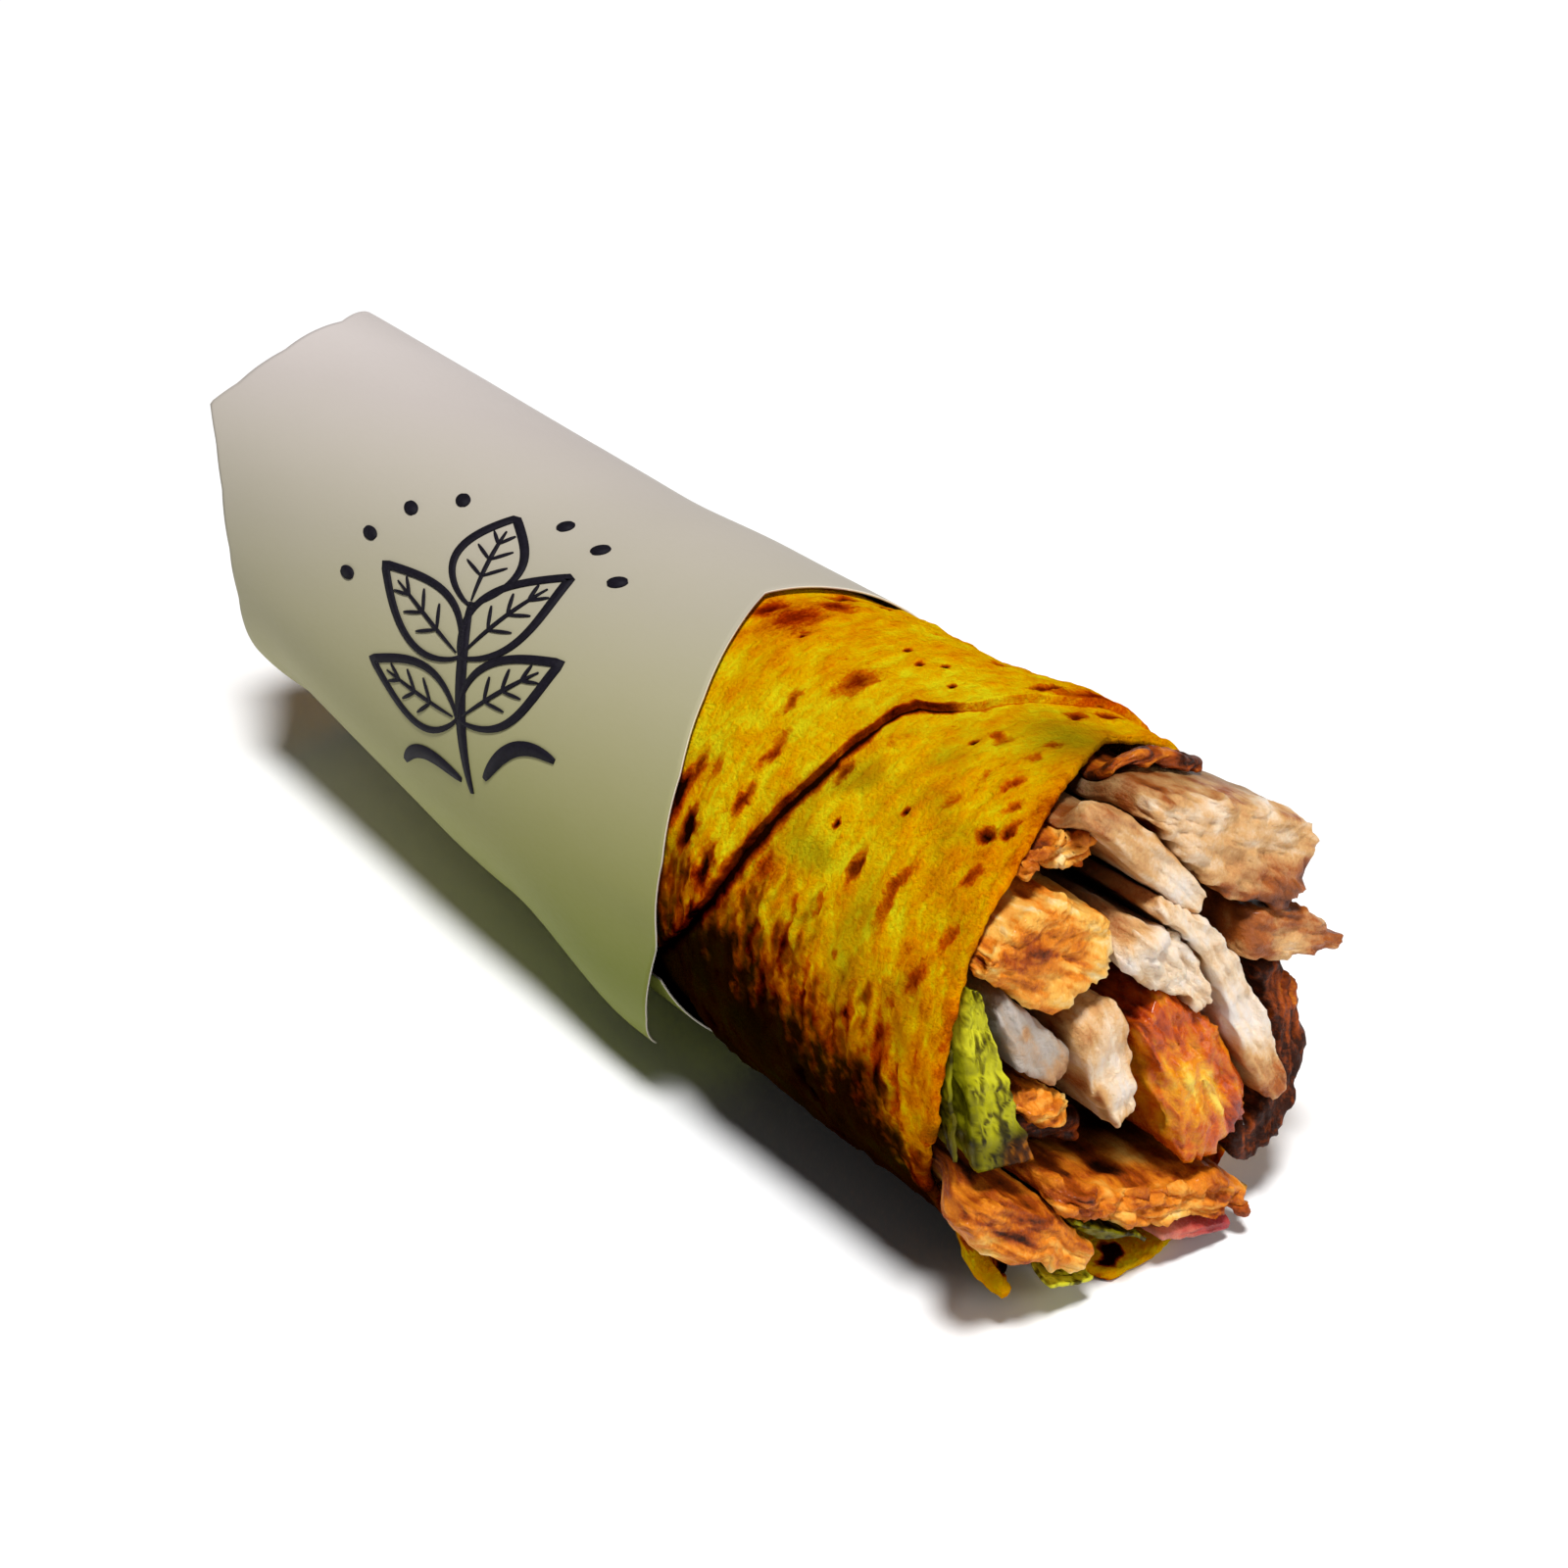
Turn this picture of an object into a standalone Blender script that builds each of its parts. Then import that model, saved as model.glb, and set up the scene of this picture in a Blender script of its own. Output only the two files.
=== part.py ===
# Gyro wrap: a flatbread rolled round strips of chicken and lettuce, in an open paper sleeve.
# Lengths below are millimetres and angles degrees until a vertex is made, which is in metres.
# X runs along the roll towards its open end, Z is up, and the origin is on the floor under the middle.
# An angle on the roll is 0 at the top and grows towards -Y.

import math

import bmesh
import bpy
import numpy as np

MM = 0.001

# The roll's round section and how its tail tapers and lifts off the floor
ROLL_RADIUS = 30.8
TAPER_START = -10.5
TAPER_SLOPE = 0.045
TAIL_START = -20.0
TAIL_SLOPE = 0.14
BEND_HALF = 9.0
NECK_START = 38.0
NECK_LENGTH = 32.0
NECK_DEPTH = 0.4
SAG = 0.5

# The paper: thickness, lap, and the flared corner of its free edge
PAPER_THICK = 0.5
LAP_START = -247.0
LAP_END = 136.0
LAP_INSET = 0.95
JOG_FROM = -219.0
JOG_TO = -205.0
PAPER_COLUMNS = 46
PAPER_ROWS = 11
CORNER_FLARE = 4.6
FLARE_START = -12.0
FLARE_LENGTH = 34.0
FLARE_ANGLE = 92.0
TAIL_CORNER_FLARE = 1.4
TAIL_FLARE_START = -70.0
TAIL_FLARE_LENGTH = 16.0

# Edges of the paper as (angle, x) pairs
PAPER_BACK = (
    (-247, -85), (-205, -87), (-150, -92), (-90, -101), (-55, -109), (-35, -112), (-8, -100.5),
    (18, -97.3), (37, -98.6), (48, -101.4), (57, -94.6), (68, -88.6), (84, -83.8), (100, -82.6), (136, -88),
)
PAPER_FRONT = (
    (-247, 30), (-205, 31), (-150, 31), (-90, 29), (-45, 25), (-16, 22), (2, 18.6), (17, 22),
    (36, 27.4), (54, 31.7), (74, 34.2), (97, 34), (120, 29.5), (136, 24.5),
)

# The flatbread's depth under the roll's skin: bare, under the paper, and under the paper's lap
BARE = 0.15
UNDER_PAPER = 1.05
UNDER_LAP = 1.95
LAP_ANGLES = (88.0, 102.0, 158.0, 168.0)
BARE_START = 1.5
BARE_LENGTH = 7.0

# Its inner face, and the step and lip where its outer layer ends
INNER_INSET_BACK = 4.2
INNER_INSET_FRONT = 2.25
THIN_START = 36.0
THIN_LENGTH = 26.0
STEP = 0.9
STEP_LENGTH = 0.7
LIP_BULGE = 0.2
RIM_ROUND = 0.35

# Its closed end follows the paper's back edge, averaged over an angle, and one fold pokes out of it
END_AVERAGE = 16.0
END_GAP = 6.0
END_TURN = 6.0
END_POKE = 8.5
END_POKE_ANGLE = 17.0
END_POKE_WIDTH = 14.0
END_FOLDS = 3

# Its open end sinks to the floor, and a torn tongue of it flares out
FRONT_DROOP = 1.0
DROOP_START = 44.0
DROOP_LENGTH = 12.0
TONGUE_ANGLE = 138.0
TONGUE_WIDTH = 9.0
TONGUE_FLARE = 4.2
TONGUE_START = 79.0
TONGUE_LENGTH = 9.0

# Rings of its wall: shares of the way from the closed end to the seam, on to the rim, and back inside
BREAD_COLUMNS = 48
OUTER_ROWS = (0.0, 0.17, 0.34, 0.5, 0.63, 0.74, 0.83, 0.91, 1.0)
SEAM_BEVEL = 2.0
FRONT_ROWS = (0.09, 0.3, 0.52, 0.74, 0.94)
INNER_ROWS = (0.97, 0.925, 0.84, 0.72, 0.56, 0.36, 0.16, 0.0)
INNER_END = 10.0

# Its edges as (angle, x) pairs
SEAM = (
    (-180, 41), (-150, 50), (-120, 60), (-90, 66), (-60, 64), (-35, 60), (-12, 57.7), (5, 56.1),
    (12, 53.4), (20, 52.3), (39, 51.3), (51, 49.7), (61, 48), (71, 45.3), (82, 41.3), (93, 37.4),
    (120, 32.5), (150, 36),
)
BREAD_RIM = (
    (-180, 93), (-150, 89), (-120, 82), (-90, 77), (-60, 74), (-36, 71.9), (-23, 68.5), (-2, 74.1),
    (19, 79.6), (32, 81.9), (51, 83.5), (70, 85.4), (93, 85.6), (121, 80.3), (136, 92),
    (150, 82.5), (166, 92.5),
)

# The open face of the filling: it leans, and pieces are laid out on it as they show
FACE = 96.0
FACE_LEAN = 0.2
FACE_CENTRE = 30.4
FACE_RADIUS = 31.3
FILL_START = -60.0
SHORT_START = {"chicken_top_browned": 30.0, "chicken_crisp_bits": 40.0, "chicken_inner_top": 15.0}
FILL_GAP = 0.75
FLOOR_GAP = 0.4
RIM_CLEAR = 0.6
SPLAY_LENGTH = 6.0

# How sharply the pressing grows towards the bread, back in the roll and at its open end
POWER_BACK = 3.0
POWER_FRONT = 6.0
POWER_START = 55.0
POWER_LENGTH = 25.0

# Filling pieces: section spine as (y, z, half thickness), how far the end stands from the face,
# how ragged the end is, and the colour group
STRIPS = {
    "chicken_slab_top": (
        ((4.4, 57.2, 1.7), (11.4, 52.2, 4.5), (17, 48.6, 5.7), (21.8, 46.2, 5.4)),
        1.5, 1.2, "pale",
    ),
    "chicken_flap_far": (((18.6, 37.6, 2.9), (24, 35.9, 3.1), (30.6, 32.6, 0.9)), 1.0, 1.0, "brown"),
    "chicken_strip_pale": (
        ((-6.2, 60.2, 1.3), (-1, 56, 2.2), (4, 50.2, 2.4), (8.2, 45.6, 1.6)),
        1.0, 0.5, "pale",
    ),
    "chicken_top_browned": (
        ((4.6, 60.4, 0.6), (9.3, 59.3, 0.7), (14, 57.4, 0.7), (17.8, 55.6, 0.5)),
        -7.0, 0.8, "brown",
    ),
    "chicken_crisp_bits": (
        ((-14.3, 57.6, 1.3), (-9.8, 57.2, 2.0), (-5.8, 55, 1.6)),
        -3.0, 1.6, "crisp",
    ),
    "chicken_slab_left": (
        ((-24.2, 48.8, 1.4), (-18, 47.6, 4.5), (-12, 45, 6.8), (-8.2, 44.4, 4.2)),
        0.0, 1.0, "crisp",
    ),
    "chicken_pale_low": (((-6.4, 33, 3.5), (-5.4, 28, 3.5), (-4.4, 23.4, 2.0)), -0.5, 0.8, "pale"),
    "chicken_grey_slice": (
        ((-19.8, 40.8, 1.5), (-16.8, 35.2, 2.9), (-13, 31.6, 2.4)),
        -1.5, 0.5, "grey",
    ),
    "chicken_browned_edge": (((-16.8, 27.8, 1.5), (-12.9, 25.4, 1.5)), -1.5, 1.4, "brown"),
    "chicken_centre": (
        ((-0.8, 42.6, 2.6), (2.2, 40.2, 3.1), (6, 36.6, 2.0), (7.3, 33.4, 0.9)),
        1.5, 1.0, "pale",
    ),
    "chicken_curl": (
        ((2.6, 46.4, 0.9), (8.2, 41.6, 1.5), (11.8, 35.5, 1.9), (14.7, 28, 2.6), (16.4, 23.2, 2.4),
         (18, 19, 1.6)),
        2.0, 0.8, "pale",
    ),
    "glazed_chunk": (((2.2, 31.8, 3.4), (5.6, 25.7, 5.2), (7.8, 19.4, 5.7)), 1.0, 1.2, "glaze"),
    "chicken_inner_top": (((-16.8, 55.0, 0.8), (-11.6, 53.8, 0.7)), -8.0, 0.6, "brown"),
    "chicken_inner_left": (((-13.6, 20.9, 1.4), (-6.5, 18.2, 1.6)), -8.0, 0.6, "brown"),
    "chicken_inner_far": (
        ((16.4, 10.6, 2.4), (21.4, 13.4, 2.4), (24.2, 19, 2.0), (23.8, 26, 2.4), (21.6, 30.6, 1.8)),
        -1.5, 0.8, "brown",
    ),
    "chicken_ragged_low": (
        ((-15, 16.4, 1.2), (-8, 12.6, 1.8), (0, 9.0, 2.2), (8, 7.3, 2.3), (12.4, 5.2, 1.3)),
        0.5, 1.8, "crisp",
    ),
    "onion_strip": (((-0.6, 4.6, 0.6), (5, 3.2, 0.7), (10, 2.6, 0.6)), 0.0, 0.3, "pink"),
    "chicken_slab_low": (
        ((-27.8, 18.8, 1.6), (-24, 16, 3.3), (-18.5, 12.0, 3.6), (-13.2, 8.2, 1.6)),
        0.0, 1.0, "crisp",
    ),
}
SPINE_STEP = 4.4
STRIP_CAP = 2
END_SHRINK = 0.72
END_ROUND = 1.4
END_DOME = 0.7
RAGGED_SCALE = 0.6
STRIP_STATIONS = (-30.0, 15.0, 45.0, 62.0, 70.0, 76.0, 80.0, 83.0, 86.0, 89.0, 92.0)

# Leaves: section curve as (y, z), width of the turned front edge, its direction, how far the end stands
# from the face, and where the leaf starts along the roll
LEAVES = {
    "lettuce_near": (
        ((-25.6, 45.4), (-26.2, 40), (-26.4, 34), (-25.9, 28), (-24.8, 22.8)),
        (1, 3.4, 5.4, 6.2, 7.0), (1.0, -0.1), -2.6, 30.0,
    ),
    "lettuce_outer": (((-29.6, 38.6), (-30.2, 31), (-28.8, 24.6)), (0, 0, 0), (1.0, 0.0), -3.0, 40.0),
    "lettuce_low": (
        ((-13.7, 12.9), (-10.6, 9.9), (-6.3, 6.8), (-3.2, 5.2)),
        (0.3, 1.2, 1.4, 0.4), (0.5, 0.86), -1.5, 30.0,
    ),
    "lettuce_bit_low": (((-17.4, 6.1), (-14, 5.0), (-11, 4.4)), (0, 0, 0), (1.0, 0.0), -1.0, 60.0),
    "lettuce_far": (((14.3, 40.8), (14.8, 36), (17.2, 31.4)), (0, 0, 0), (1.0, 0.0), -6.0, 20.0),
}
LEAF_THICK = 0.8
LEAF_COLUMNS = 8
LEAF_CRINKLE = 0.25
LEAF_ROWS = 7
TURN_ROWS = 3
TURN_LEAST = 0.25
TURN_FORWARD = 1.1

COLOURS = {
    "paper": (0.52, 0.48, 0.38), "bread": (0.75, 0.42, 0.03), "pale": (0.78, 0.55, 0.35),
    "brown": (0.28, 0.09, 0.03), "crisp": (0.65, 0.26, 0.05), "grey": (0.62, 0.52, 0.44),
    "glaze": (0.55, 0.15, 0.02), "pink": (0.5, 0.08, 0.09), "leaf": (0.32, 0.36, 0.05),
}


def smooth(t):
    t = np.clip(t, 0.0, 1.0)
    return t * t * (3 - 2 * t)


def ramp(t, half):
    """Zero, then a parabola, then the line t: a straight ramp with a rounded start."""
    return np.where(t < -half, 0.0, np.where(t > half, t, (t + half) ** 2 / (4 * half)))


def roll_radius(x):
    neck = NECK_DEPTH * smooth((x - NECK_START) / NECK_LENGTH)
    return ROLL_RADIUS - TAPER_SLOPE * ramp(TAPER_START - x, BEND_HALF) - neck


def tail_height(x):
    return TAIL_SLOPE * ramp(TAIL_START - x, BEND_HALF)


def axis_height(x):
    return tail_height(x) + roll_radius(x) - SAG


def wrap_angle(angle):
    return (angle + 180.0) % 360.0 - 180.0


def edge_x(pairs, angle):
    """Position along the roll of an edge that goes once round it."""
    a = np.array([p[0] for p in pairs], float)
    x = np.array([p[1] for p in pairs], float)
    a = np.append(a, a[0] + 360.0)
    x = np.append(x, x[0])
    return np.interp(wrap_angle(angle), a, x)


def section_point(x, angle, inset, droop=0.0):
    """A point of the roll's section, inset from its skin, with the flat strip that it rests on."""
    rad = math.radians(angle)
    r = roll_radius(x) - inset
    z = max(axis_height(x) + r * math.cos(rad), tail_height(x) + max(inset, 0.0))
    return (x, -r * math.sin(rad), z - droop * max(0.0, -math.cos(rad)) ** 2)


def new_object(name, verts, faces, colour):
    mesh = bpy.data.meshes.new(name)
    mesh.from_pydata([(x * MM, y * MM, z * MM) for x, y, z in verts], [], faces)
    mesh.validate()
    work = bmesh.new()
    work.from_mesh(mesh)
    bmesh.ops.recalc_face_normals(work, faces=work.faces)
    work.to_mesh(mesh)
    work.free()
    mesh.polygons.foreach_set("use_smooth", [True] * len(mesh.polygons))
    obj = bpy.data.objects.new(name, mesh)
    material = bpy.data.materials.new(name)
    material.use_nodes = True
    shader = material.node_tree.nodes["Principled BSDF"]
    shader.inputs["Base Color"].default_value = (*COLOURS[colour], 1)
    shader.inputs["Roughness"].default_value = 0.6
    mesh.materials.append(material)
    WRAP.objects.link(obj)
    return obj


def grid_faces(rows, columns, closed):
    span = columns if closed else columns - 1
    faces = []
    for i in range(rows - 1):
        for j in range(span):
            k = (j + 1) % columns
            faces.append((i * columns + j, i * columns + k, (i + 1) * columns + k, (i + 1) * columns + j))
    return faces


def paper_inset(angle):
    return LAP_INSET * (1 - smooth((angle - JOG_FROM) / (JOG_TO - JOG_FROM)))


def paper_edge(pairs, angle):
    return float(np.interp(angle, [p[0] for p in pairs], [p[1] for p in pairs]))


def paper_flare(x, angle):
    """How far the free edge of the paper stands off the roll."""
    turn = smooth((angle - FLARE_ANGLE) / (LAP_END - FLARE_ANGLE))
    front = CORNER_FLARE * smooth((x - FLARE_START) / FLARE_LENGTH)
    tail = TAIL_CORNER_FLARE * smooth((TAIL_FLARE_START - x) / TAIL_FLARE_LENGTH)
    return turn * (front + tail)


def make_paper():
    verts = []
    for i in range(PAPER_ROWS):
        for j in range(PAPER_COLUMNS):
            angle = LAP_START + (LAP_END - LAP_START) * j / (PAPER_COLUMNS - 1)
            back = paper_edge(PAPER_BACK, angle)
            front = paper_edge(PAPER_FRONT, angle)
            x = back + (front - back) * i / (PAPER_ROWS - 1)
            verts.append(section_point(x, angle, paper_inset(angle) - paper_flare(x, angle)))
    sheet = new_object("paper_sleeve", verts, grid_faces(PAPER_ROWS, PAPER_COLUMNS, False), "paper")
    work = bmesh.new()
    work.from_mesh(sheet.data)
    work.faces.ensure_lookup_table()
    middle = work.faces[len(work.faces) // 2]
    centre = middle.calc_center_median()
    if middle.normal.dot((0, centre.y, centre.z - ROLL_RADIUS * MM)) < 0:
        bmesh.ops.reverse_faces(work, faces=work.faces)
    work.to_mesh(sheet.data)
    work.free()
    thicken = sheet.modifiers.new("thickness", "SOLIDIFY")
    thicken.thickness = PAPER_THICK * MM
    thicken.offset = -1
    thicken.use_even_offset = True


def bread_end(angle):
    """Where the closed end of the flatbread turns in, just inside the paper but for one fold."""
    a = wrap_angle(angle)
    around = (a - END_AVERAGE, a, a + END_AVERAGE)
    near = [paper_edge(PAPER_BACK, b if b <= LAP_END else b - 360) for b in around]
    poke = END_POKE * math.exp(-(((a - END_POKE_ANGLE) / END_POKE_WIDTH) ** 2))
    return sum(near) / len(near) + END_GAP - poke


def bread_outer_inset(x, angle):
    a = wrap_angle(angle)
    layers = [b for b in (a, a - 360) if LAP_START <= b <= LAP_END]
    paper_front = max(paper_edge(PAPER_FRONT, b) for b in layers)
    rise, full, fall, end = LAP_ANGLES
    lap = smooth((a - rise) / (full - rise)) * (1 - smooth((a - fall) / (end - fall)))
    under = UNDER_PAPER + (UNDER_LAP - UNDER_PAPER) * lap
    bare = smooth((x - paper_front - BARE_START) / BARE_LENGTH)
    return under * (1 - bare) + BARE * bare


def bread_front_inset(x, angle):
    """Depth of the inner layer, past the seam."""
    return max(bread_outer_inset(x, angle), BARE) + STEP


def bread_inner_inset(x):
    thin = float(smooth((x - THIN_START) / THIN_LENGTH))
    return INNER_INSET_BACK + (INNER_INSET_FRONT - INNER_INSET_BACK) * thin


def tongue(x, angle):
    """How far a torn tongue of the front edge flares out near the floor."""
    near = math.exp(-(((wrap_angle(angle) - TONGUE_ANGLE) / TONGUE_WIDTH) ** 2))
    out = float(smooth((x - TONGUE_START) / TONGUE_LENGTH))
    return TONGUE_FLARE * near * out


def front_droop(x):
    return FRONT_DROOP * float(smooth((x - DROOP_START) / DROOP_LENGTH))


def make_flatbread():
    angles = [360.0 * j / BREAD_COLUMNS for j in range(BREAD_COLUMNS)]
    rows = []

    def ring(inset, start, end, share):
        """A ring of the wall, a share of the way between two edges."""
        points = []
        for a in angles:
            x = start(a) + (end(a) - start(a)) * share
            points.append(section_point(x, a, inset(x, a) - tongue(x, a), front_droop(x)))
        rows.append(points)

    def end_ring(share, lift, inset, tuck):
        """A ring of the closed end, drawn in to a share of the radius and pushed in by a few folds."""
        middle = sum(bread_end(a) for a in angles) / len(angles)
        points = []
        for a in angles:
            fold = tuck * math.cos(math.radians(END_FOLDS * a))
            x = middle + (bread_end(a) - middle) * share + lift + fold
            rim_point = section_point(x, a, inset)
            centre = axis_height(x)
            points.append((x, rim_point[1] * share, centre + (rim_point[2] - centre) * share))
        rows.append(points)

    def seam(a):
        return float(edge_x(SEAM, a))

    def rim(a):
        return float(edge_x(BREAD_RIM, a))

    def turned_end(a):
        return bread_end(a) + END_TURN

    def before_seam(a):
        return seam(a) - SEAM_BEVEL

    def inner_end(a):
        return bread_end(a) + INNER_END

    def past_seam(a):
        return seam(a) + STEP_LENGTH

    def lip_inset(x, a):
        inset = bread_outer_inset(x, a)
        return inset - LIP_BULGE if inset < (BARE + UNDER_PAPER) / 2 else inset

    def inner_inset(x, a):
        return bread_inner_inset(x)

    end_ring(0.3, 2.5, UNDER_LAP, 0.5)
    end_ring(0.66, 0.4, UNDER_LAP, 0.7)
    end_ring(0.9, 0.9, UNDER_LAP, 0.4)
    for share in OUTER_ROWS:
        ring(bread_outer_inset, turned_end, before_seam, share)
    ring(lip_inset, turned_end, seam, 1.0)
    ring(bread_front_inset, turned_end, past_seam, 1.0)
    for share in FRONT_ROWS:
        ring(bread_front_inset, seam, rim, share)
    ring(lambda x, a: BARE + STEP + RIM_ROUND, seam, rim, 1.0)
    ring(lambda x, a: INNER_INSET_FRONT - RIM_ROUND, seam, rim, 1.0)
    for share in INNER_ROWS:
        ring(inner_inset, inner_end, rim, share)
    end_ring(0.66, 5.0, INNER_INSET_BACK, 0.5)
    end_ring(0.3, 5.6, INNER_INSET_BACK, 0.3)

    verts = [p for points in rows for p in points]
    faces = grid_faces(len(rows), BREAD_COLUMNS, True)
    for points, first in ((rows[0], 0), (rows[-1], (len(rows) - 1) * BREAD_COLUMNS)):
        verts.append(tuple(sum(p[k] for p in points) / len(points) for k in range(3)))
        tip = len(verts) - 1
        faces += [(first + j, first + (j + 1) % BREAD_COLUMNS, tip) for j in range(BREAD_COLUMNS)]
    new_object("flatbread", verts, faces, "bread")


def squeeze(x, y, z):
    """Maps a point of the open face to its place at x: pressed inwards where bread surrounds it."""
    dz = z - FACE_CENTRE
    taper = float(roll_radius(x) / roll_radius(FACE))
    r = math.hypot(y, dz)
    share = r / FACE_RADIUS
    angle = math.degrees(math.atan2(-y, dz))
    inside = float(roll_radius(x)) - bread_inner_inset(x) - FILL_GAP
    out = float(smooth((x - float(edge_x(BREAD_RIM, angle)) - RIM_CLEAR) / SPLAY_LENGTH))
    power = POWER_BACK + (POWER_FRONT - POWER_BACK) * float(smooth((x - POWER_START) / POWER_LENGTH))
    push = (FACE_RADIUS * taper - inside) * (1 - out)
    if share < 1:
        scale = taper - push * share ** power / max(r, 1e-6)
    else:
        scale = (FACE_RADIUS * taper - push + (r - FACE_RADIUS) * out) / r
    return (x, y * scale, max(float(axis_height(x)) + dz * scale, FLOOR_GAP))


def spine_points(spine, count):
    """Smooth points along a spine of (y, z, half) stations, with unit normals."""
    pts = np.array(spine, float)
    gaps = np.hypot(np.diff(pts[:, 0]), np.diff(pts[:, 1]))
    at = np.concatenate([[0], np.cumsum(gaps)])
    where = np.linspace(0, at[-1], count)
    out = np.stack([np.interp(where, at, pts[:, k]) for k in range(pts.shape[1])], 1)
    tangent = np.gradient(out[:, :2], axis=0)
    tangent /= np.linalg.norm(tangent, axis=1)[:, None]
    return out, np.stack([-tangent[:, 1], tangent[:, 0]], 1), tangent


def strip_outline(spine, side, shrink):
    """The closed section outline of a piece: side, round end, side, round end."""
    mid, normal, tangent = spine_points(spine, side)
    half = mid[:, 2] * shrink
    pull = mid[:, 2] - half
    left = mid[:, :2] + normal * half[:, None]
    right = mid[:, :2] - normal * half[:, None]
    left[0] += tangent[0] * pull[0]
    right[0] += tangent[0] * pull[0]
    left[-1] -= tangent[-1] * pull[-1]
    right[-1] -= tangent[-1] * pull[-1]

    def cap(k, way):
        centre = mid[k, :2] - way * tangent[k] * pull[k]
        steps = [math.pi * (s + 1) / (STRIP_CAP + 1) for s in range(STRIP_CAP)]
        return [centre + half[k] * way * (math.cos(t) * normal[k] + math.sin(t) * tangent[k]) for t in steps]

    return list(left) + cap(-1, 1.0) + list(right[::-1]) + cap(0, -1.0), mid[:, :2]


def make_strip(name, spine, stand, ragged, colour):
    """A piece of filling that runs through the roll and ends, uneven, at the open face."""
    length = sum(math.dist(a[:2], b[:2]) for a, b in zip(spine, spine[1:]))
    side = max(4, round(length / SPINE_STEP) + 1)
    full, mid = strip_outline(spine, side, 1.0)
    small, _ = strip_outline(spine, side, END_SHRINK)
    count = len(full)
    phase = sum(ord(c) for c in name) * 0.37
    verts = []
    face_end = FACE + stand

    def end_of(z, k):
        wave = math.sin(k * 1.9 + phase) + 0.6 * math.sin(k * 3.3 + 2 * phase)
        return face_end - FACE_LEAN * z + ragged * RAGGED_SCALE * wave

    lowest = min(end_of(p[1], k) for k, p in enumerate(full)) - 2 * END_ROUND
    begin = SHORT_START.get(name, FILL_START)
    stations = [begin] + [s for s in STRIP_STATIONS if begin < s < lowest]
    for x in stations:
        verts += [squeeze(x, p[0], p[1]) for p in full]
    rings = len(stations)
    for k, p in enumerate(full):
        verts.append(squeeze(end_of(p[1], k) - END_ROUND, p[0], p[1]))
    for k, p in enumerate(small):
        verts.append(squeeze(end_of(p[1], k), p[0], p[1]))
    rings += 2
    faces = grid_faces(rings, count, True)

    def close(first, spine_first):
        """Faces from an end outline in to its spine."""
        out = []
        for k in range(side - 1):
            far = side + STRIP_CAP + (side - 1 - k)
            out.append((first + k, first + k + 1, spine_first + k + 1, spine_first + k))
            out.append((spine_first + k, spine_first + k + 1, first + far - 1, first + far))
        tip = [side - 1] + [side + s for s in range(STRIP_CAP)] + [side + STRIP_CAP]
        out += [(first + tip[s], first + tip[s + 1], spine_first + side - 1) for s in range(len(tip) - 1)]
        tail = [2 * side + STRIP_CAP - 1] + [2 * side + STRIP_CAP + s for s in range(STRIP_CAP)] + [0]
        out += [(first + tail[s], first + tail[s + 1], spine_first) for s in range(len(tail) - 1)]
        return out

    faces += close(0, len(verts))
    verts += [squeeze(begin, y, z) for y, z in mid]
    faces += close((rings - 1) * count, len(verts))
    verts += [squeeze(face_end - FACE_LEAN * z + END_DOME, y, z) for y, z in mid]
    new_object(name, verts, faces, colour)


def make_leaf(name, spine, widths, way, stand, start):
    """A thin wavy leaf along the roll; its front edge turns across by the widths given."""
    stations = [(p[0], p[1], w) for p, w in zip(spine, widths)]
    mid, normal, _ = spine_points(stations, LEAF_COLUMNS)
    phase = len(name) * 0.7
    rows = []
    along = np.linspace(0, 1, LEAF_ROWS)
    turn = np.linspace(0, 1, TURN_ROWS + 1)[1:] if max(widths) > 0 else []

    def wave(x, k):
        return LEAF_CRINKLE * math.sin(k * 1.7 + x * 0.31 + phase)

    for t in along:
        points = []
        for k in range(LEAF_COLUMNS):
            y, z, w = mid[k]
            end = FACE + stand - FACE_LEAN * z
            x = start + (end - start) * t
            off = wave(x, k)
            points.append(squeeze(x, y + normal[k][0] * off, z + normal[k][1] * off))
        rows.append(points)
    for t in turn:
        points = []
        for k in range(LEAF_COLUMNS):
            y, z, w = mid[k]
            end = FACE + stand - FACE_LEAN * z
            reach = max(w, TURN_LEAST) * t
            points.append(squeeze(end + TURN_FORWARD * t, y + way[0] * reach, z + way[1] * reach))
        rows.append(points)
    verts = [p for points in rows for p in points]
    leaf = new_object(name, verts, grid_faces(len(rows), LEAF_COLUMNS, False), "leaf")
    split = leaf.modifiers.new("split", "TRIANGULATE")
    split.quad_method = "FIXED"
    thicken = leaf.modifiers.new("thickness", "SOLIDIFY")
    thicken.thickness = LEAF_THICK * MM
    thicken.offset = 0
    thicken.use_even_offset = False


for obj in list(bpy.data.objects):
    bpy.data.objects.remove(obj, do_unlink=True)
WRAP = bpy.data.collections.new("gyro_wrap")
bpy.context.scene.collection.children.link(WRAP)

make_paper()
make_flatbread()
for strip_name, (strip_spine, strip_stand, strip_ragged, strip_colour) in STRIPS.items():
    make_strip(strip_name, strip_spine, strip_stand, strip_ragged, strip_colour)
for leaf_name, (leaf_spine, leaf_widths, leaf_way, leaf_stand, leaf_start) in LEAVES.items():
    make_leaf(leaf_name, leaf_spine, leaf_widths, leaf_way, leaf_stand, leaf_start)
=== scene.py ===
import math

import bpy
import numpy as np
from mathutils import Matrix, Vector


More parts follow.
